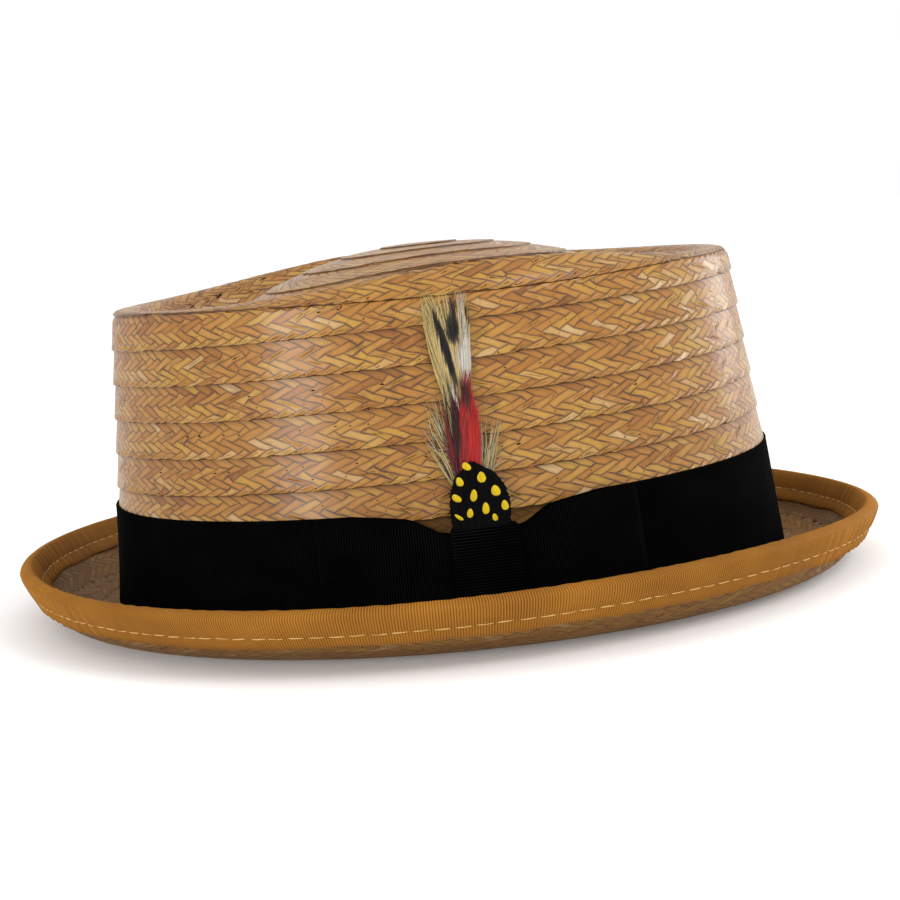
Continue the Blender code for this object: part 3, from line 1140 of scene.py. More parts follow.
            def place(theta: Array, share: Array, edge: Callable = edge, top: Callable = top) -> Array:
                """Profile place between the row's seams."""
                return to_place(theta, edge(theta) * share + top(theta) * (1 - share))

            self.lay(form, flat, columns, start, TURN, place, None, face, step)
            take_in(whole, form)
        bmesh.ops.remove_doubles(whole, verts=whole.verts, dist=WELD)
        return whole

    def crown_tip(self, face: Face, strand: float) -> Form:
        """Rows over the rim, through the crease and on the tip.

        Args:
            face: face of the straw.
            strand: width of a strand.

        Returns:
            The working mesh.
        """

        def third(theta: Array) -> Array:
            """Distance of the last seam of the rim."""
            return self.ridge_seam(theta) + self.rim_rows * self.pitch

        def total(theta: Array) -> Array:
            """Distance of the tip's middle."""
            return self.form.run(theta, Section.RIM) + self.form.run(theta, Section.TIP)

        seams: list[Seam] = []
        for row in range(self.rim_rows + 1):
            seams.append(lambda theta, row=row: self.ridge_seam(theta) + row * self.pitch)
        for row in range(1, self.tip_rows + 1):
            seams.append(
                lambda theta, row=row: third(theta) + (total(theta) - third(theta)) * row / self.tip_rows
            )
        return self.rings(seams, self.form.crown_place, face, strand, 40, self.tip_step)

    def brim(self, face: Face, strand: float) -> Form:
        """Rows on the brim, from the crown's foot to under the binding.

        Args:
            face: face of the straw.
            strand: width of a strand.

        Returns:
            The working mesh.
        """

        def held(distance: float) -> Seam:
            """A seam that stays under the binding.

            Args:
                distance: distance from the crown's foot where there is room for it.

            Returns:
                The seam as a function of the angle.
            """

            def seam(theta: Array) -> Array:
                """Distance of the seam from the crown's foot."""
                total = self.form.run(theta, Section.SEAT) + self.form.run(theta, Section.BRIM)
                return np.minimum(distance, total - self.binding_cover)

            return seam

        steps = [held(step * self.pitch) for step in range(self.brim_rows + 1)]
        if face is Face.OUTSIDE:
            pairs = [(steps[i + 1], steps[i]) for i in range(self.brim_rows)]
        else:
            steps[0] = held(-self.foot_lap)
            pairs = [(steps[i], steps[i + 1]) for i in range(self.brim_rows)]
        whole = bmesh.new()
        for row, pair in enumerate(pairs):
            form = self.rings(list(pair), self.form.brim_place, face, strand, 70 + row)
            take_in(whole, form)
        slim = [f for f in whole.faces if f.calc_area() < SLIVER]
        bmesh.ops.delete(whole, geom=slim, context="FACES")
        return whole

    def build(self) -> None:
        """Builds every straw piece."""
        outer = StrawFinish().material()
        # A darker, matt copy with painted shade for the brim's faces and the linings.
        inner = StrawFinish(name="plaited_straw_shaded", shade_and_matte=0.6).material()
        # Way of making it, face of the straw, name and material
        rows = (
            (self.crown_side, Face.OUTSIDE, "crown_side_plait", outer),
            (self.crown_tip, Face.OUTSIDE, "crown_tip_plait", outer),
            (self.brim, Face.OUTSIDE, "brim_upper_plait", inner),
            (self.brim, Face.INSIDE, "brim_under_plait", inner),
            (self.crown_side, Face.INSIDE, "crown_lining_plait", inner),
            (self.crown_tip, Face.INSIDE, "tip_lining_plait", inner),
        )
        for make, face, name, material in rows:
            finish_piece(make(face, self.strand), name, material, "straw", ("straw_body",))


# Ribbons


@dataclass
class RibbonWork:
    """Shared ways of making ribbed ribbon on the hat."""

    form: HatForm
    rib: float = 0.00066
    rib_rise: float = 0.00007

    def woven(
        self, columns: int, section: list[float], place: Callable[[Array, Array, Array], Array], ribbed: int
    ) -> Form:
        """Makes a closed loop of ribbon with ribs across it.

        Args:
            columns: steps along the ribbon, two for each rib.
            section: stations round the ribbon's cross-section.
            place: gives world places for a share along, a station number and a rise.
            ribbed: number of stations, from the first, that carry ribs.

        Returns:
            The working mesh.
        """
        form = bmesh.new()
        count = len(section)
        bmesh.ops.create_grid(form, x_segments=columns, y_segments=count, size=1.0)
        flat = coordinates(form)
        across = np.rint((flat[:, 0] + 1) / 2 * columns).astype(int)
        station = np.rint((1 - flat[:, 1]) / 2 * count).astype(int) % count
        crest = form.verts.layers.float.new("crest")
        grain = form.loops.layers.uv.new("grain")
        high = (across % 2 == 0) & (station < ribbed)
        rise = np.where(station < ribbed, np.where(high, self.rib_rise, -self.rib_rise), 0.0)
        world = place(across / columns, station, rise)
        # Rib tops carry the share for the material's painted shade between ribs.
        for vert, top in zip(form.verts, high):
            vert[crest] = 1.0 if top else 0.0
        for face in form.faces:
            for loop in face.loops:
                spot = loop.vert.co
                loop[grain].uv = ((spot.x + 1) / 2 * columns * self.rib / 2, (1 - spot.y) / 2 * count * 0.003)
        set_coordinates(form, world)
        bmesh.ops.remove_doubles(form, verts=form.verts, dist=WELD)
        return form


@dataclass
class BrimBinding(RibbonWork):
    """Golden brown ribbon folded over the brim's edge, with one row of stitches through it."""

    depth: float = 0.0094
    near: float = 0.0003
    far: float = 0.0011
    stitch_line: float = 0.0054
    stitch_pitch: float = 0.0049
    stitch_length: float = 0.0042
    thread: float = 0.00042
    stitch_sink: float = 0.00022
    fold_width: float = 0.0045
    groove: float = 0.0007
    hem: float = 0.0003
    hem_from: float = 0.009
    puckers: tuple[float, float] = (0.00012, 0.00008)
    wavers: tuple[float, float] = (0.00025, 0.0002)
    brim_length: float = 0.2606
    brim_width: float = 0.2492

    @property
    def girth(self) -> float:
        """Length of the brim's edge."""
        return math.pi * (self.brim_length + self.brim_width) / 2

    def path(self) -> list[Triple]:
        """Cross-section as distance from the edge, rise off the face and reach past the edge.

        Returns:
            The stations in order round the cross-section.
        """
        wall = self.form.straw_wall
        line, sink = self.stitch_line, self.stitch_sink
        flat = [(self.depth, -0.0004), (self.depth - self.hem, 0.0), (0.0076, 0.0), (line + self.groove, 0.0)]
        flat += [(line, -sink), (line - self.groove, 0.0), (0.0030, 0.0001), (0.0012, 0.0)]
        upper = [(back, self.far + dip, 0.0) for back, dip in flat]
        lower = [(back, -wall - self.far - dip, 0.0) for back, dip in reversed(flat)]
        fold = []
        for step in range(1, 8):
            turn = math.pi * step / 8
            fold.append((0.0, (wall / 2 + self.far) * math.cos(turn) - wall / 2, self.far * math.sin(turn)))
        spots = ((self.depth, 0.0), (0.0040, 0.0), (0.0, self.near))
        inner = [(back, -wall - self.near, reach) for back, reach in spots]
        inner += [(back, self.near, reach) for back, reach in reversed(spots)]
        return upper + fold + lower + inner

    def off_edge(self, theta: Array, back: Array, out: Array, beyond: Array) -> Array:
        """World place by the brim's edge."""
        place = 5 - back / self.form.run(theta, Section.BRIM)
        return self.form.surface(theta, place, out, beyond)

    def ribbon(self) -> Form:
        """The folded ribbon.

        Returns:
            The working mesh.
        """
        path = np.array(self.path())
        columns = 2 * round(self.girth / self.rib)
        wall = self.form.straw_wall

        def place(along: Array, station: Array, rise: Array) -> Array:
            """World places of the ribbon's stations.

            Args:
                along: shares of the way along the ribbon.
                station: station numbers across it.
                rise: rises of the ribs.

            Returns:
                World places in metres.
            """
            theta = math.pi / 2 + along * TURN
            back, out, beyond = (path[station, k] for k in range(3))
            side = np.clip((out + wall / 2) / (wall / 2 + self.far), -1, 1)
            broad, fine = self.puckers
            pucker = broad * np.sin(theta * 97) * np.sin(theta * 31 + 2) + fine * np.sin(theta * 163)
            broad, fine = self.wavers
            waver = broad * np.sin(theta * 13) + fine * np.sin(theta * 29 + 1)
            back = back + np.where(back > self.hem_from, waver, 0.0)
            out = out + side * (rise + pucker)
            return self.off_edge(theta, back, out, beyond + np.sqrt(1 - side**2) * rise)

        return self.woven(columns, list(range(len(path))), place, len(path) - 6)

    def stitches(self) -> Form:
        """Stitches along the ribbon's middle on both faces.

        Returns:
            The working mesh.
        """
        girth = self.girth
        count = round(girth / self.stitch_pitch)
        chance = np.random.default_rng(5)
        form = bmesh.new()
        rest = self.far - self.stitch_sink
        for side in (1, -1):
            for i in range(count):
                middle = (i + 0.5 + chance.uniform(-0.06, 0.06)) * girth / count
                size = (self.stitch_length / 2, self.thread / 2, self.thread / 2)
                turn = Matrix.Rotation(chance.uniform(-0.06, 0.06), 4, "Z")
                spot = Matrix.Translation((middle, chance.uniform(-0.00012, 0.00012), side * 0.01))
                matrix = spot @ turn @ Matrix.Diagonal((*size, 1.0))
                bmesh.ops.create_uvsphere(form, u_segments=8, v_segments=6, radius=1.0, matrix=matrix)
        flat = coordinates(form)
        theta = math.pi / 2 + flat[:, 0] / girth * TURN
        upper = flat[:, 2] > 0
        rise = np.where(upper, flat[:, 2] - 0.01, flat[:, 2] + 0.01)
        out = np.where(upper, rest, -self.form.straw_wall - rest) + rise
        set_coordinates(form, self.off_edge(theta, self.stitch_line + flat[:, 1], out, 0 * out))
        return form

    def build(self) -> None:
        """Builds the binding and its stitches."""
        finish = RibbonFinish(
            "binding_ribbon", light=(0.500, 0.205, 0.020), dark=(0.090, 0.030, 0.004), roughness=0.7,
            sheen=0.0, specular=0.12, base=0.10,
        )
        where = ("binding", ("brim_binding",), True)
        ribbon = finish_piece(self.ribbon(), "binding_ribbon", finish.material(), *where)
        sewing = finish_piece(self.stitches(), "binding_stitches", ThreadFinish().material(), *where)


@dataclass
class HatBand(RibbonWork):
    """Black ribbed ribbon round the foot of the crown."""

    width: float = 0.0303
    near: float = 0.0003
    far: float = 0.0013
    rib: float = 0.00070
    dip: float = 0.0074
    dip_angle: float = math.radians(-97.95)
    dip_reach: float = 0.0361
    swells: tuple[float, float] = (0.00018, 0.00012)

    def ribbon(self) -> Form:
        """The band as a closed loop of cloth.

        Returns:
            The working mesh.
        """
        foot = self.form.band_foot
        top = foot + self.width
        # Height and rise off the wall, outer face first
        path = [(foot, self.far - 0.0002), (foot + 0.0006, self.far)]
        path += [(foot + self.width * share, self.far) for share in (0.15, 0.35, 0.55, 0.75, 0.9)]
        path += [(top - 0.0009, self.far), (top - 0.0006, self.far + 0.0001), (top, self.far - 0.0001)]
        path += [(top, self.near), (foot + self.width / 2, self.near), (foot, self.near)]
        stations = np.array(path)
        columns = 2 * round(self.form.crown_girth / self.rib)

        def place(along: Array, station: Array, rise: Array) -> Array:
            """World places of the ribbon's stations.

            Args:
                along: shares of the way along the ribbon.
                station: station numbers across it.
                rise: rises of the ribs.

            Returns:
                World places in metres.
            """
            theta = math.pi / 2 + along * TURN
            height, out = stations[station, 0], stations[station, 1]
            away = np.mod(theta - self.dip_angle + math.pi, TURN) - math.pi
            away = away * self.form.crown_length / 2 / self.dip_reach
            pull = self.dip / self.width * np.maximum(0.0, 1 - away**2) ** 2
            height = foot + (height - foot) * (1 - pull)
            broad, fine = self.swells
            swell = broad * np.sin(theta * 9 + height * 90) + fine * np.sin(theta * 23 - height * 150)
            out = out + np.where(out > 0.0008, rise + swell - 0.0001, 0.0)
            return self.form.surface(theta, self.form.wall_place(theta, height), out)

        return self.woven(columns, path, place, len(path) - 3)

    def build(self, finish: RibbonFinish) -> None:
        """Builds the band."""
        piece = finish_piece(self.ribbon(), "band_ribbon", finish.material(), "band", ("hat_band",), True)


@dataclass
class SideBow(RibbonWork):
    """Flat bow on the band: a loop of ribbon pinched by a short sleeve."""

    angle: float = math.radians(-97.95)
    length: float = 0.0880
    width: float = 0.0303
    cloth: float = 0.0008
    rest: float = 0.0016
    puff: float = 0.0024
    pinch: float = 0.0068
    knot_width: float = 0.0180
    knot_cloth: float = 0.0008
    knot_rib: float = 0.000805
    knot_girth: float = 0.0473
    gap: float = 0.0003
    # One wing: along as a share of half the length, puff and pinch as shares
    sections: tuple[Triple, ...] = (
        (0.00, 0.00, 1.00),
        (0.20, 0.00, 1.00),
        (0.30, 0.45, 0.74),
        (0.42, 0.85, 0.32),
        (0.55, 1.00, 0.16),
        (0.75, 0.90, 0.03),
        (0.92, 0.60, 0.00),
    )

    def on_crown(self, along: Array, height: Array, out: Array) -> Array:
        """World place by the bow: distance toward the back, height and distance off the wall."""
        theta = self.angle + along / (self.form.crown_length / 2)
        return self.form.surface(theta, self.form.wall_place(theta, height), out)

    def loop_path(self) -> Array:
        """Middle line of the loop as distance along, depth and half width, closed.

        Returns:
            The line's points.
        """
        half = self.length / 2
        under = self.rest + self.knot_cloth + self.gap
        front = under + self.cloth + 1.3 * self.gap
        outer, inner = [], []
        for along, puff, pinch in self.sections:
            held = along * half <= self.knot_width * 0.6
            tall = self.width / 2 - pinch * self.pinch
            outer.append((along * half, front + puff * self.puff + self.cloth / 2, tall))
            inner.append((along * half, (under if held else self.rest) + self.cloth / 2, tall))
        tall = self.width / 2
        fold = [(half - 0.0002, front + 0.0006, tall), (half, (front + self.rest) / 2 + 0.0002, tall)]
        wing = outer[1:] + fold + inner[:0:-1]
        other = [(-along, depth, tall) for along, depth, tall in reversed(wing)]
        path = np.array([outer[0]] + wing + [inner[0]] + other)
        closed = np.concatenate([path, path[:1]])[None]
        return smooth_path(closed, 10)[0][:-1]

    def loop(self) -> Form:
        """The bow's two wings, one loop of ribbon.

        Returns:
            The working mesh.
        """
        line = even_loop(self.loop_path(), self.rib)
        columns = len(line)
        side = beside(line, 3)
        middle = self.form.band_foot + self.width / 2
        levels = [1.0, 0.96, 0.7, 0.4, 0.1, -0.2, -0.5, -0.8, -0.96, -1.0]
        faces = [1.0] * len(levels) + [-1.0] * 3
        levels += [-1.0, 0.0, 1.0]

        def place(along: Array, station: Array, rise: Array) -> Array:
            """World places of the ribbon's stations.

            Args:
                along: shares of the way along the ribbon.
                station: station numbers across it.
                rise: rises of the ribs.

            Returns:
                World places in metres.
            """
            spot = np.rint(along * columns).astype(int) % columns
            level, face = np.array(levels)[station], np.array(faces)[station]
            outward = face * (self.cloth / 2) + rise
            across = line[spot, 0] + side[spot, 0] * outward
            depth = line[spot, 1] + side[spot, 1] * outward
            height = middle + level * line[spot, 2]
            return self.on_crown(across, np.maximum(height, self.form.band_foot), depth)

        return self.woven(columns, levels, place, len(levels) - 3)

    def sleeve(self) -> Form:
        """The knot: a sleeve of ribbon round the loop's middle.

        Returns:
            The working mesh.
        """
        tall = self.width / 2 - self.pinch + 2 * self.gap
        back = self.rest
        front = back + self.knot_cloth + self.gap + 2 * self.cloth + 3 * self.gap + self.knot_cloth
        deep = front - back
        corners = [(0.0, 1.06), (0.5, 1.05), (0.86, 0.99), (1.0, 0.80), (1.03, 0.4), (1.0, 0.0), (0.5, 0.0)]
        mirrored = [(-rise, depth) for rise, depth in corners[:0:-1]]
        shape = np.array([(rise * (tall + self.knot_cloth), back + depth * deep) for rise, depth in
                          corners + [(0.0, 0.0)] + mirrored])
        path = smooth_path(np.concatenate([shape, shape[:1]])[None], 8)[0][:-1]
        path[:, 1] = np.maximum(path[:, 1], back)
        line = even_loop(path, self.knot_rib)
        columns = len(line)
        side = beside(line, 2)
        middle = self.form.band_foot + self.width / 2
        sides = [-1.0, -0.96, -0.6, -0.2, 0.2, 0.6, 0.96, 1.0, 1.0, 0.0, -1.0]
        inner = 3

        def place(along: Array, station: Array, rise: Array) -> Array:
            """World places of the ribbon's stations.

            Args:
                along: shares of the way along the ribbon.
                station: station numbers across it.
                rise: rises of the ribs.

            Returns:
                World places in metres.
            """
            spot = np.rint(along * columns).astype(int) % columns
            is_inner = station >= len(sides) - inner
            lower = np.where(is_inner, -self.knot_cloth * 0.9, 0.0) + rise
            up = line[spot, 0] + side[spot, 0] * lower
            depth = line[spot, 1] + side[spot, 1] * lower
            share = np.clip((line[spot, 1] - back) / deep, 0, 1)
            half = self.knot_width / 2 * (0.86 + 0.14 * share)
            across = np.array(sides)[station] * half
            return self.on_crown(across, np.maximum(middle + up, self.form.band_foot), depth)

        return self.woven(columns, sides, place, len(sides) - inner)

    def build(self, finish: RibbonFinish) -> None:
        """Builds the bow and its knot.

        Args:
            finish: the ribbon's finish.
        """
        loop = finish_piece(self.loop(), "bow_ribbon", finish.material(), "bow", ("bow_loop",), True)
        knot = finish_piece(self.sleeve(), "knot_ribbon", finish.material(), "knot", ("bow_knot",), True)


# Feathers


@dataclass(frozen=True)
class Tuft:
    """A group of barbs, in millimetres along the crown and up it, measured at the bow's middle."""

    name: str
    count: int
    foot: tuple[float, float]
    foot_spread: tuple[float, float]
    tip: tuple[float, float]
    tip_spread: tuple[float, float]
    layer: float
    tone: float
    tone_spread: float
    width: float = 0.55


@dataclass(frozen=True)
class Patch:
    """A painted oval on a feather: middle, half sizes, slant and tone."""

    middle: tuple[float, float]
    half: tuple[float, float]
    slant: float
    tone: float


@dataclass
class Plume:
    """A feather made of fine tapering barbs."""

    bow: SideBow
    name: str
    node: str
    slot: str
    seed: int
    tufts: tuple[Tuft, ...]
    patches: tuple[Patch, ...] = ()
    steps: int = 7

    def barbs(self) -> Form:
        """Builds all barbs as closed tapering blades.

        Returns:
            The working mesh.
        """
        chance = np.random.default_rng(self.seed)
        form = bmesh.new()
        tone_layer = form.verts.layers.float.new("tone")
        for tuft in self.tufts:
            for _ in range(tuft.count):
                foot = np.array(tuft.foot) + chance.uniform(-1, 1, 2) * tuft.foot_spread
                share = chance.uniform(-1, 1)
                tip = np.array(tuft.tip) + np.array([share, chance.uniform(-1, 1)]) * tuft.tip_spread
                bend = chance.normal(0, 0.035) - 0.02 * share
                layer = tuft.layer + chance.uniform(-0.25, 0.25)
                tone = tuft.tone + chance.normal(0, tuft.tone_spread)
                self.barb(form, tone_layer, foot, tip, bend, layer, tone, tuft.width, chance.uniform(0, 0.5))
        return form

    def barb(
        self, form: Form, layer_out: object, foot: Array, tip: Array, bend: float, layer: float,
        tone: float, width: float, lift: float,
    ) -> None:
        """Adds one barb.

        Args:
            form: working mesh that takes it.
            layer_out: its tone layer.
            foot: where it starts, in millimetres.
            tip: where it ends.
            bend: sideways bow as a share of its length.
            layer: distance off the wall in millimetres.
            tone: its place on the finish's ramp.
            width: half width in millimetres.
            lift: how far its tip stands off, in millimetres.
        """
        made = bmesh.ops.create_grid(form, x_segments=4, y_segments=self.steps, size=1.0)["verts"]
        flat = np.array([vert.co for vert in made], float)
        turn = (flat[:, 0] + 1) * math.pi
        t = (flat[:, 1] + 1) / 2
        run = tip - foot
        side = np.array([run[1], -run[0]]) / np.linalg.norm(run)
        body = np.clip(1 - t, 0, 1) ** 0.6 * (0.55 + 1.3 * t * (1 - t)) + 0.05
        bow = bend * np.linalg.norm(run) * 4 * t * (1 - t)
        along = foot[0] + run[0] * t + side[0] * bow
        height = foot[1] + run[1] * t + side[1] * bow
        tones = np.full(len(t), tone)
        for patch in self.patches:
            a, h = along - patch.middle[0], height - patch.middle[1]
            a = a - h * patch.slant
            inside = (a / patch.half[0]) ** 2 + (h / patch.half[1]) ** 2
            share = np.clip(1.6 - 1.3 * inside, 0, 1)
            tones = tones * (1 - share) + patch.tone * share
        along = along + side[0] * width * body * np.cos(turn)
        height = height + side[1] * width * body * np.cos(turn)
        out = layer + lift * t**2 + 0.12 * np.sin(turn) * body
        paint(made, self.bow.on_crown(along / 1000, height / 1000, out / 1000), layer_out, tones)

    def build(self, finish: PlumeFinish) -> None:
        """Builds the feather.

        Args:
            finish: the barbs' finish.
        """
        form = self.barbs()
        bmesh.ops.remove_doubles(form, verts=form.verts, dist=1e-7)
        ends = [edge for edge in form.edges if edge.is_boundary]
        bmesh.ops.holes_fill(form, edges=ends, sides=6)
        finish_piece(form, self.name, finish.material(), self.slot, (self.node,), True)


@dataclass
class SpottedFeather:
    """Short black feather laid over the quills, with yellow spots."""

    bow: SideBow
    layer: float = 4.6
    thickness: float = 0.35
    crown: float = 0.9
    # Height, left and right edges in millimetres
    outline: tuple[Triple, ...] = (
        (29.5, -8.2, 7.2),
        (33.0, -8.6, 8.0),
        (36.5, -8.4, 8.1),
        (39.5, -7.8, 7.4),
        (42.0, -6.9, 6.2),
        (44.0, -5.4, 4.4),
        (45.8, -3.4, 1.8),
        (47.0, -1.6, -0.6),
    )
    # Spot middles, half width, half height and slant
    spots: tuple[tuple[float, float, float, float, float], ...] = (
        (-2.6, 46.0, 1.05, 1.1, -0.3),
        (-4.9, 42.2, 0.95, 1.25, -0.1),
        (0.9, 42.8, 1.15, 1.45, 0.0),
        (4.2, 38.9, 1.25, 1.45, -0.1),
        (-6.2, 38.0, 1.1, 1.1, -0.45),
        (-1.7, 38.3, 0.9, 1.6, 0.15),
        (1.0, 34.6, 0.95, 1.55, 0.05),
        (6.2, 34.8, 1.0, 1.35, -0.05),
        (-3.2, 33.8, 0.8, 1.25, 0.1),
        (-6.2, 33.0, 0.7, 0.9, -0.9),
        (3.1, 32.0, 0.7, 1.0, -0.1),
    )

    def edge(self, height: Array) -> tuple[Array, Array]:
        """Left and right edges at a height."""
        rows = np.array(self.outline)
        return tuple(np.interp(height, rows[:, 0], rows[:, k]) for k in (1, 2))

    def rise(self, along: Array, height: Array) -> Array:
        """Distance off the wall of the feather's face.

        Args:
            along: millimetres along the crown from the bow's middle.
            height: millimetres up it.

        Returns:
            Distances in millimetres.
        """
        left, right = self.edge(height)
        middle, half = (left + right) / 2, (right - left) / 2
        share = np.clip(np.abs(along - middle) / half, 0, 1)
        return self.layer + self.crown * (1 - share**2.5)

    def vane(self) -> Form:
        """The black vane, thin, crowned and notched into locks along its edge.

        Returns:
            The working mesh.
        """
        form = bmesh.new()
        bmesh.ops.create_grid(form, x_segments=36, y_segments=40, size=1.0)
        bmesh.ops.solidify(form, geom=form.faces, thickness=0.1)
        flat = coordinates(form)
        low, high = self.outline[0][0], self.outline[-1][0]
        height = low + (flat[:, 1] + 1) / 2 * (high - low)
        left, right = self.edge(height)
        lock = 1 - 0.05 * np.abs(np.sin(height * 2.3 + flat[:, 0]))
        along = (left + right) / 2 + (right - left) / 2 * flat[:, 0] * lock
        height = height + 0.2 * np.abs(flat[:, 0]) * np.sin(flat[:, 0] * 9 + height * 1.7)
        ridges = 0.06 * np.sin(along * 5.5 + np.abs(along) * 2.0)
        under = np.where(flat[:, 2] > flat[:, 2].mean(), 0.0, -self.thickness)
        out = self.rise(along, height) + ridges + under
        tone = form.verts.layers.float.new("tone")
        paint(form.verts, self.bow.on_crown(along / 1000, height / 1000, out / 1000), tone, 0.08 + ridges)
        return form

    def dots(self) -> Form:
        """Flat yellow spots, slightly proud of the vane.

        Returns:
            The working mesh.
        """
        form = bmesh.new()
        tone = form.verts.layers.float.new("tone")
        for along, height, wide, tall, slant in self.spots:
            made = bmesh.ops.create_uvsphere(form, u_segments=18, v_segments=10, radius=1.0)["verts"]
            flat = np.array([vert.co for vert in made], float)
            taper = 1 - 0.22 * flat[:, 1]
            a = along + flat[:, 0] * wide * taper + flat[:, 1] * tall * slant
            h = height + flat[:, 1] * tall
            out = self.rise(a, h) + flat[:, 2] * 0.16
            paint(made, self.bow.on_crown(a / 1000, h / 1000, out / 1000), tone, 0.75 + 0.15 * flat[:, 0])
        return form

    def build(self) -> None:
        """Builds the vane and its spots."""
        black = PlumeFinish(
            "spotted_vane", ((0.0, (0.001, 0.0008, 0.001)), (1.0, (0.012, 0.010, 0.011))), 0.0, 0.04
        )
        yellow = PlumeFinish("yellow_spots", ((0.0, (0.34, 0.20, 0.004)), (1.0, (0.70, 0.50, 0.006))))
        node, slot = ("feather_spotted",), "spotted_feather"
        finish_piece(self.vane(), "spotted_feather_vane", black.material(), slot, node, True)
        finish_piece(self.dots(), "spotted_feather_dots", yellow.material(), slot, node, True)


def barred_plume(bow: SideBow) -> Plume:
    """The long back feather: yellow and beige barbs, black bars and a white patch.

    Args:
        bow: the bow that it stands behind.

    Returns:
        The feather.
    """
    tufts = (
        Tuft("yellow", 40, (-3.2, 62.0), (0.9, 6.0), (-8.2, 89.5), (1.7, 4.5), 2.3, 0.42, 0.05),
        Tuft("bar", 40, (-2.2, 63.0), (1.2, 5.0), (-5.2, 87.0), (2.0, 5.0), 2.5, 0.46, 0.05),
        Tuft("middle", 40, (-0.9, 64.0), (1.2, 5.0), (-1.4, 88.0), (2.1, 4.5), 2.6, 0.55, 0.06),
        Tuft("pale strip", 9, (-2.7, 61.5), (0.3, 1.5), (-3.9, 68.0), (0.5, 1.5), 3.4, 0.80, 0.06, 0.32),
        Tuft("right", 34, (0.4, 65.0), (1.0, 4.0), (2.5, 87.0), (1.4, 5.0), 2.5, 0.80, 0.08),
        Tuft("left down", 44, (-5.0, 44.0), (1.4, 6.0), (-10.2, 58.0), (3.0, 8.5), 2.0, 0.52, 0.22, 0.30),
        Tuft("right down", 40, (2.0, 42.5), (1.8, 3.5), (6.2, 52.5), (3.2, 6.5), 2.0, 0.60, 0.22, 0.28),
        Tuft("grey edge", 20, (-4.4, 50.0), (1.0, 5.0), (-5.2, 69.0), (1.6, 5.0), 2.6, 0.30, 0.20, 0.35),
    )
    patches = (
        Patch((-4.0, 77.0), (1.25, 11.0), -0.21, 0.0),
        Patch((-1.3, 81.8), (2.1, 4.4), 0.0, 0.02),
        Patch((-0.5, 90.0), (0.9, 5.5), 0.0, 0.03),
        Patch((3.3, 85.8), (1.0, 4.0), 0.0, 0.14),
        Patch((1.0, 74.6), (2.3, 5.6), 0.08, 0.97),
    )
    return Plume(bow, "barred_feather_barbs", "feather_barred", "barred_feather", 21, tufts, patches)


def red_plume(bow: SideBow) -> Plume:
    """The slim red feather; its left edge is its own dark red deepened with painted shade, and brighter barbs
    along its right are a painted highlight.

    Args:
        bow: the bow that it stands behind.

    Returns:
        The feather.
    """
    tufts = (
        # Own dark red, with painted shade along the left edge.
        Tuft("dark edge", 40, (-4.4, 45.0), (0.8, 3.0), (-3.6, 63.0), (1.5, 6.0), 3.2, 0.12, 0.08, 0.45),
        Tuft("red", 70, (-2.0, 44.0), (1.7, 3.0), (0.3, 67.5), (1.8, 4.0), 3.7, 0.62, 0.12, 0.55),
        # Painted highlight: brighter barbs along the right.
        Tuft("bright", 30, (-0.4, 44.0), (0.9, 3.0), (1.7, 62.5), (1.3, 5.0), 3.8, 0.80, 0.10, 0.45),
        Tuft("dull barbs", 26, (-4.8, 46.0), (0.8, 4.0), (-7.4, 58.0), (1.6, 7.0), 3.0, 0.32, 0.10, 0.25),
    )
    patches = (Patch((-0.4, 65.0), (1.3, 3.4), 0.0, 0.10), Patch((-3.9, 55.0), (1.4, 6.0), 0.0, 0.05))
    return Plume(bow, "red_feather_barbs", "feather_red", "red_feather", 22, tufts, patches)


# The studio


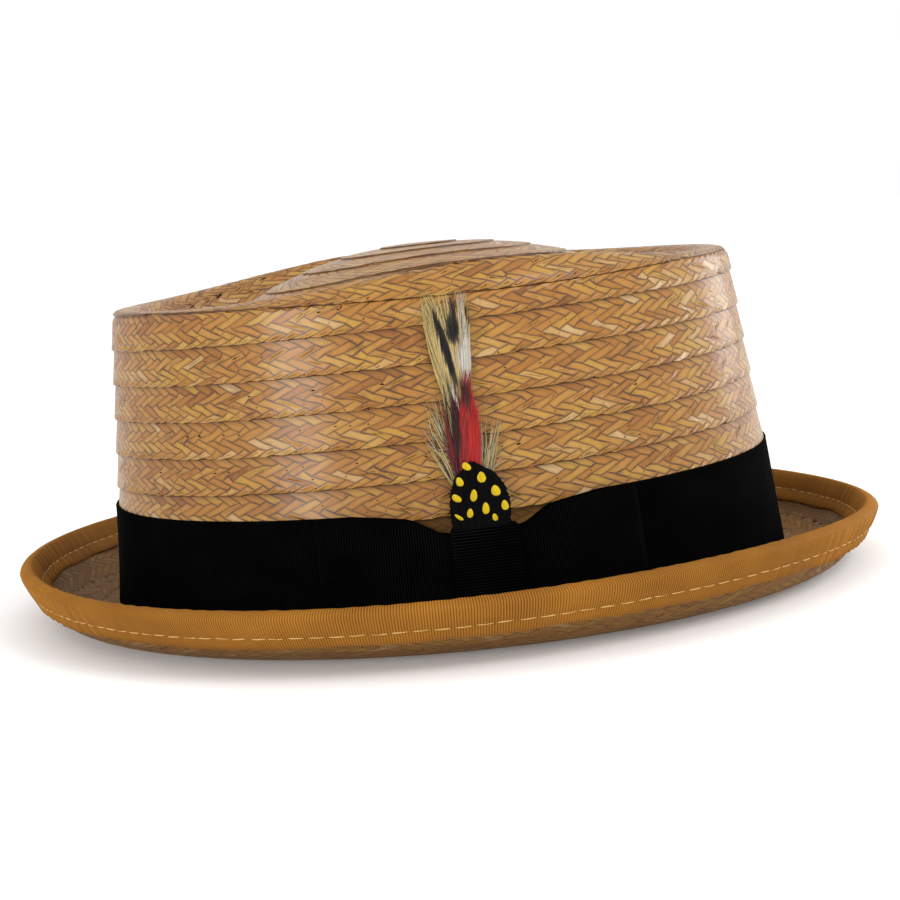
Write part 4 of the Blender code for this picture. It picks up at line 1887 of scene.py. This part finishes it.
@dataclass
class Studio:
    """Camera, floor and lights."""

    lens: float = 78.69
    place: Triple = (-0.154739, -0.574518, 0.115348)
    back: Triple = (-0.259149, -0.957530, 0.126408)
    right: Triple = (0.959886, -0.269843, -0.076178)
    floor_reach: float = 6.0
    # Name, place, size and power
    lamps: tuple[tuple[str, Triple, float, float], ...] = (
        ("key_light", (0.75, -1.0, 1.1), 0.7, 8.0),
        ("fill_light", (-1.30, -1.05, 0.42), 0.5, 7.5),
        ("rim_light", (1.4, 0.55, 0.40), 0.6, 5.0),
    )

    def camera(self) -> None:
        """Places the camera where the photograph was taken from."""
        data = bpy.data.cameras.new("photo_camera")
        data.lens = self.lens
        data.sensor_width = 36.0
        data.clip_start = 0.01
        camera = bpy.data.objects.new("photo_camera", data)
        back, right = Vector(self.back).normalized(), Vector(self.right).normalized()
        up = back.cross(right)
        turn = Matrix((right, up, back)).transposed().to_4x4()
        camera.matrix_world = Matrix.Translation(Vector(self.place)) @ turn
        bpy.context.scene.collection.objects.link(camera)
        bpy.context.scene.camera = camera

    def floor(self) -> None:
        """A wide pale floor under the hat."""
        form = bmesh.new()
        bmesh.ops.create_grid(form, x_segments=2, y_segments=2, size=self.floor_reach)
        mesh = bpy.data.meshes.new("studio_floor")
        form.to_mesh(mesh)
        form.free()
        mesh.materials.append(FloorFinish().material())
        floor = bpy.data.objects.new("studio_floor", mesh)
        bpy.context.scene.collection.objects.link(floor)

    def light(self, name: str, place: Triple, size: float, power: float) -> None:
        """A square soft light that looks at the hat.

        Args:
            name: the lamp's name.
            place: where it stands.
            size: its side in metres.
            power: its power in watts.
        """
        data = bpy.data.lights.new(name, "AREA")
        data.size = size
        data.energy = power
        lamp = bpy.data.objects.new(name, data)
        lamp.location = place
        aim = Vector((0.0, 0.0, 0.05)) - Vector(place)
        lamp.rotation_euler = aim.to_track_quat("-Z", "Y").to_euler()
        bpy.context.scene.collection.objects.link(lamp)

    def build(self) -> None:
        """Sets up the studio."""
        self.camera()
        self.floor()
        for lamp in self.lamps:
            self.light(*lamp)
        world = bpy.data.worlds.new("studio")
        world.use_nodes = True
        backdrop = world.node_tree.nodes["Background"].inputs
        backdrop["Color"].default_value = (1.0, 1.0, 1.0, 1.0)
        backdrop["Strength"].default_value = 1.0
        bpy.context.scene.world = world
        bpy.context.scene.view_settings.view_transform = "Standard"


def main() -> None:
    """Builds the hat's looks on the frame."""
    logging.basicConfig(level=logging.INFO, format="%(message)s")
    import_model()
    Studio().build()
    form = HatForm()
    StrawBody(form).build()
    BrimBinding(form).build()
    black = RibbonFinish(
        "black_ribbon", light=(0.0190, 0.0190, 0.0205), dark=(0.0001, 0.0001, 0.0001), roughness=0.8,
        sheen=0.0, specular=0.01, base=-0.36,
    )
    HatBand(form).build(black)
    bow = SideBow(form, rib=0.00070)
    bow.build(black)
    barred = PlumeFinish("barred_barbs", (
        (0.00, (0.006, 0.005, 0.005)), (0.20, (0.060, 0.045, 0.030)), (0.42, (0.500, 0.370, 0.130)),
        (0.58, (0.420, 0.320, 0.170)), (0.80, (0.400, 0.340, 0.270)), (1.00, (0.540, 0.510, 0.430)),
    ))
    barred_plume(bow).build(barred)
    red = PlumeFinish("red_barbs", (
        (0.00, (0.014, 0.002, 0.002)), (0.35, (0.140, 0.020, 0.018)), (0.60, (0.330, 0.008, 0.010)),
        (0.85, (0.430, 0.020, 0.012)), (1.00, (0.500, 0.090, 0.020)),
    ))
    red_plume(bow).build(red)
    SpottedFeather(bow).build()


if __name__ == "__main__":
    main()
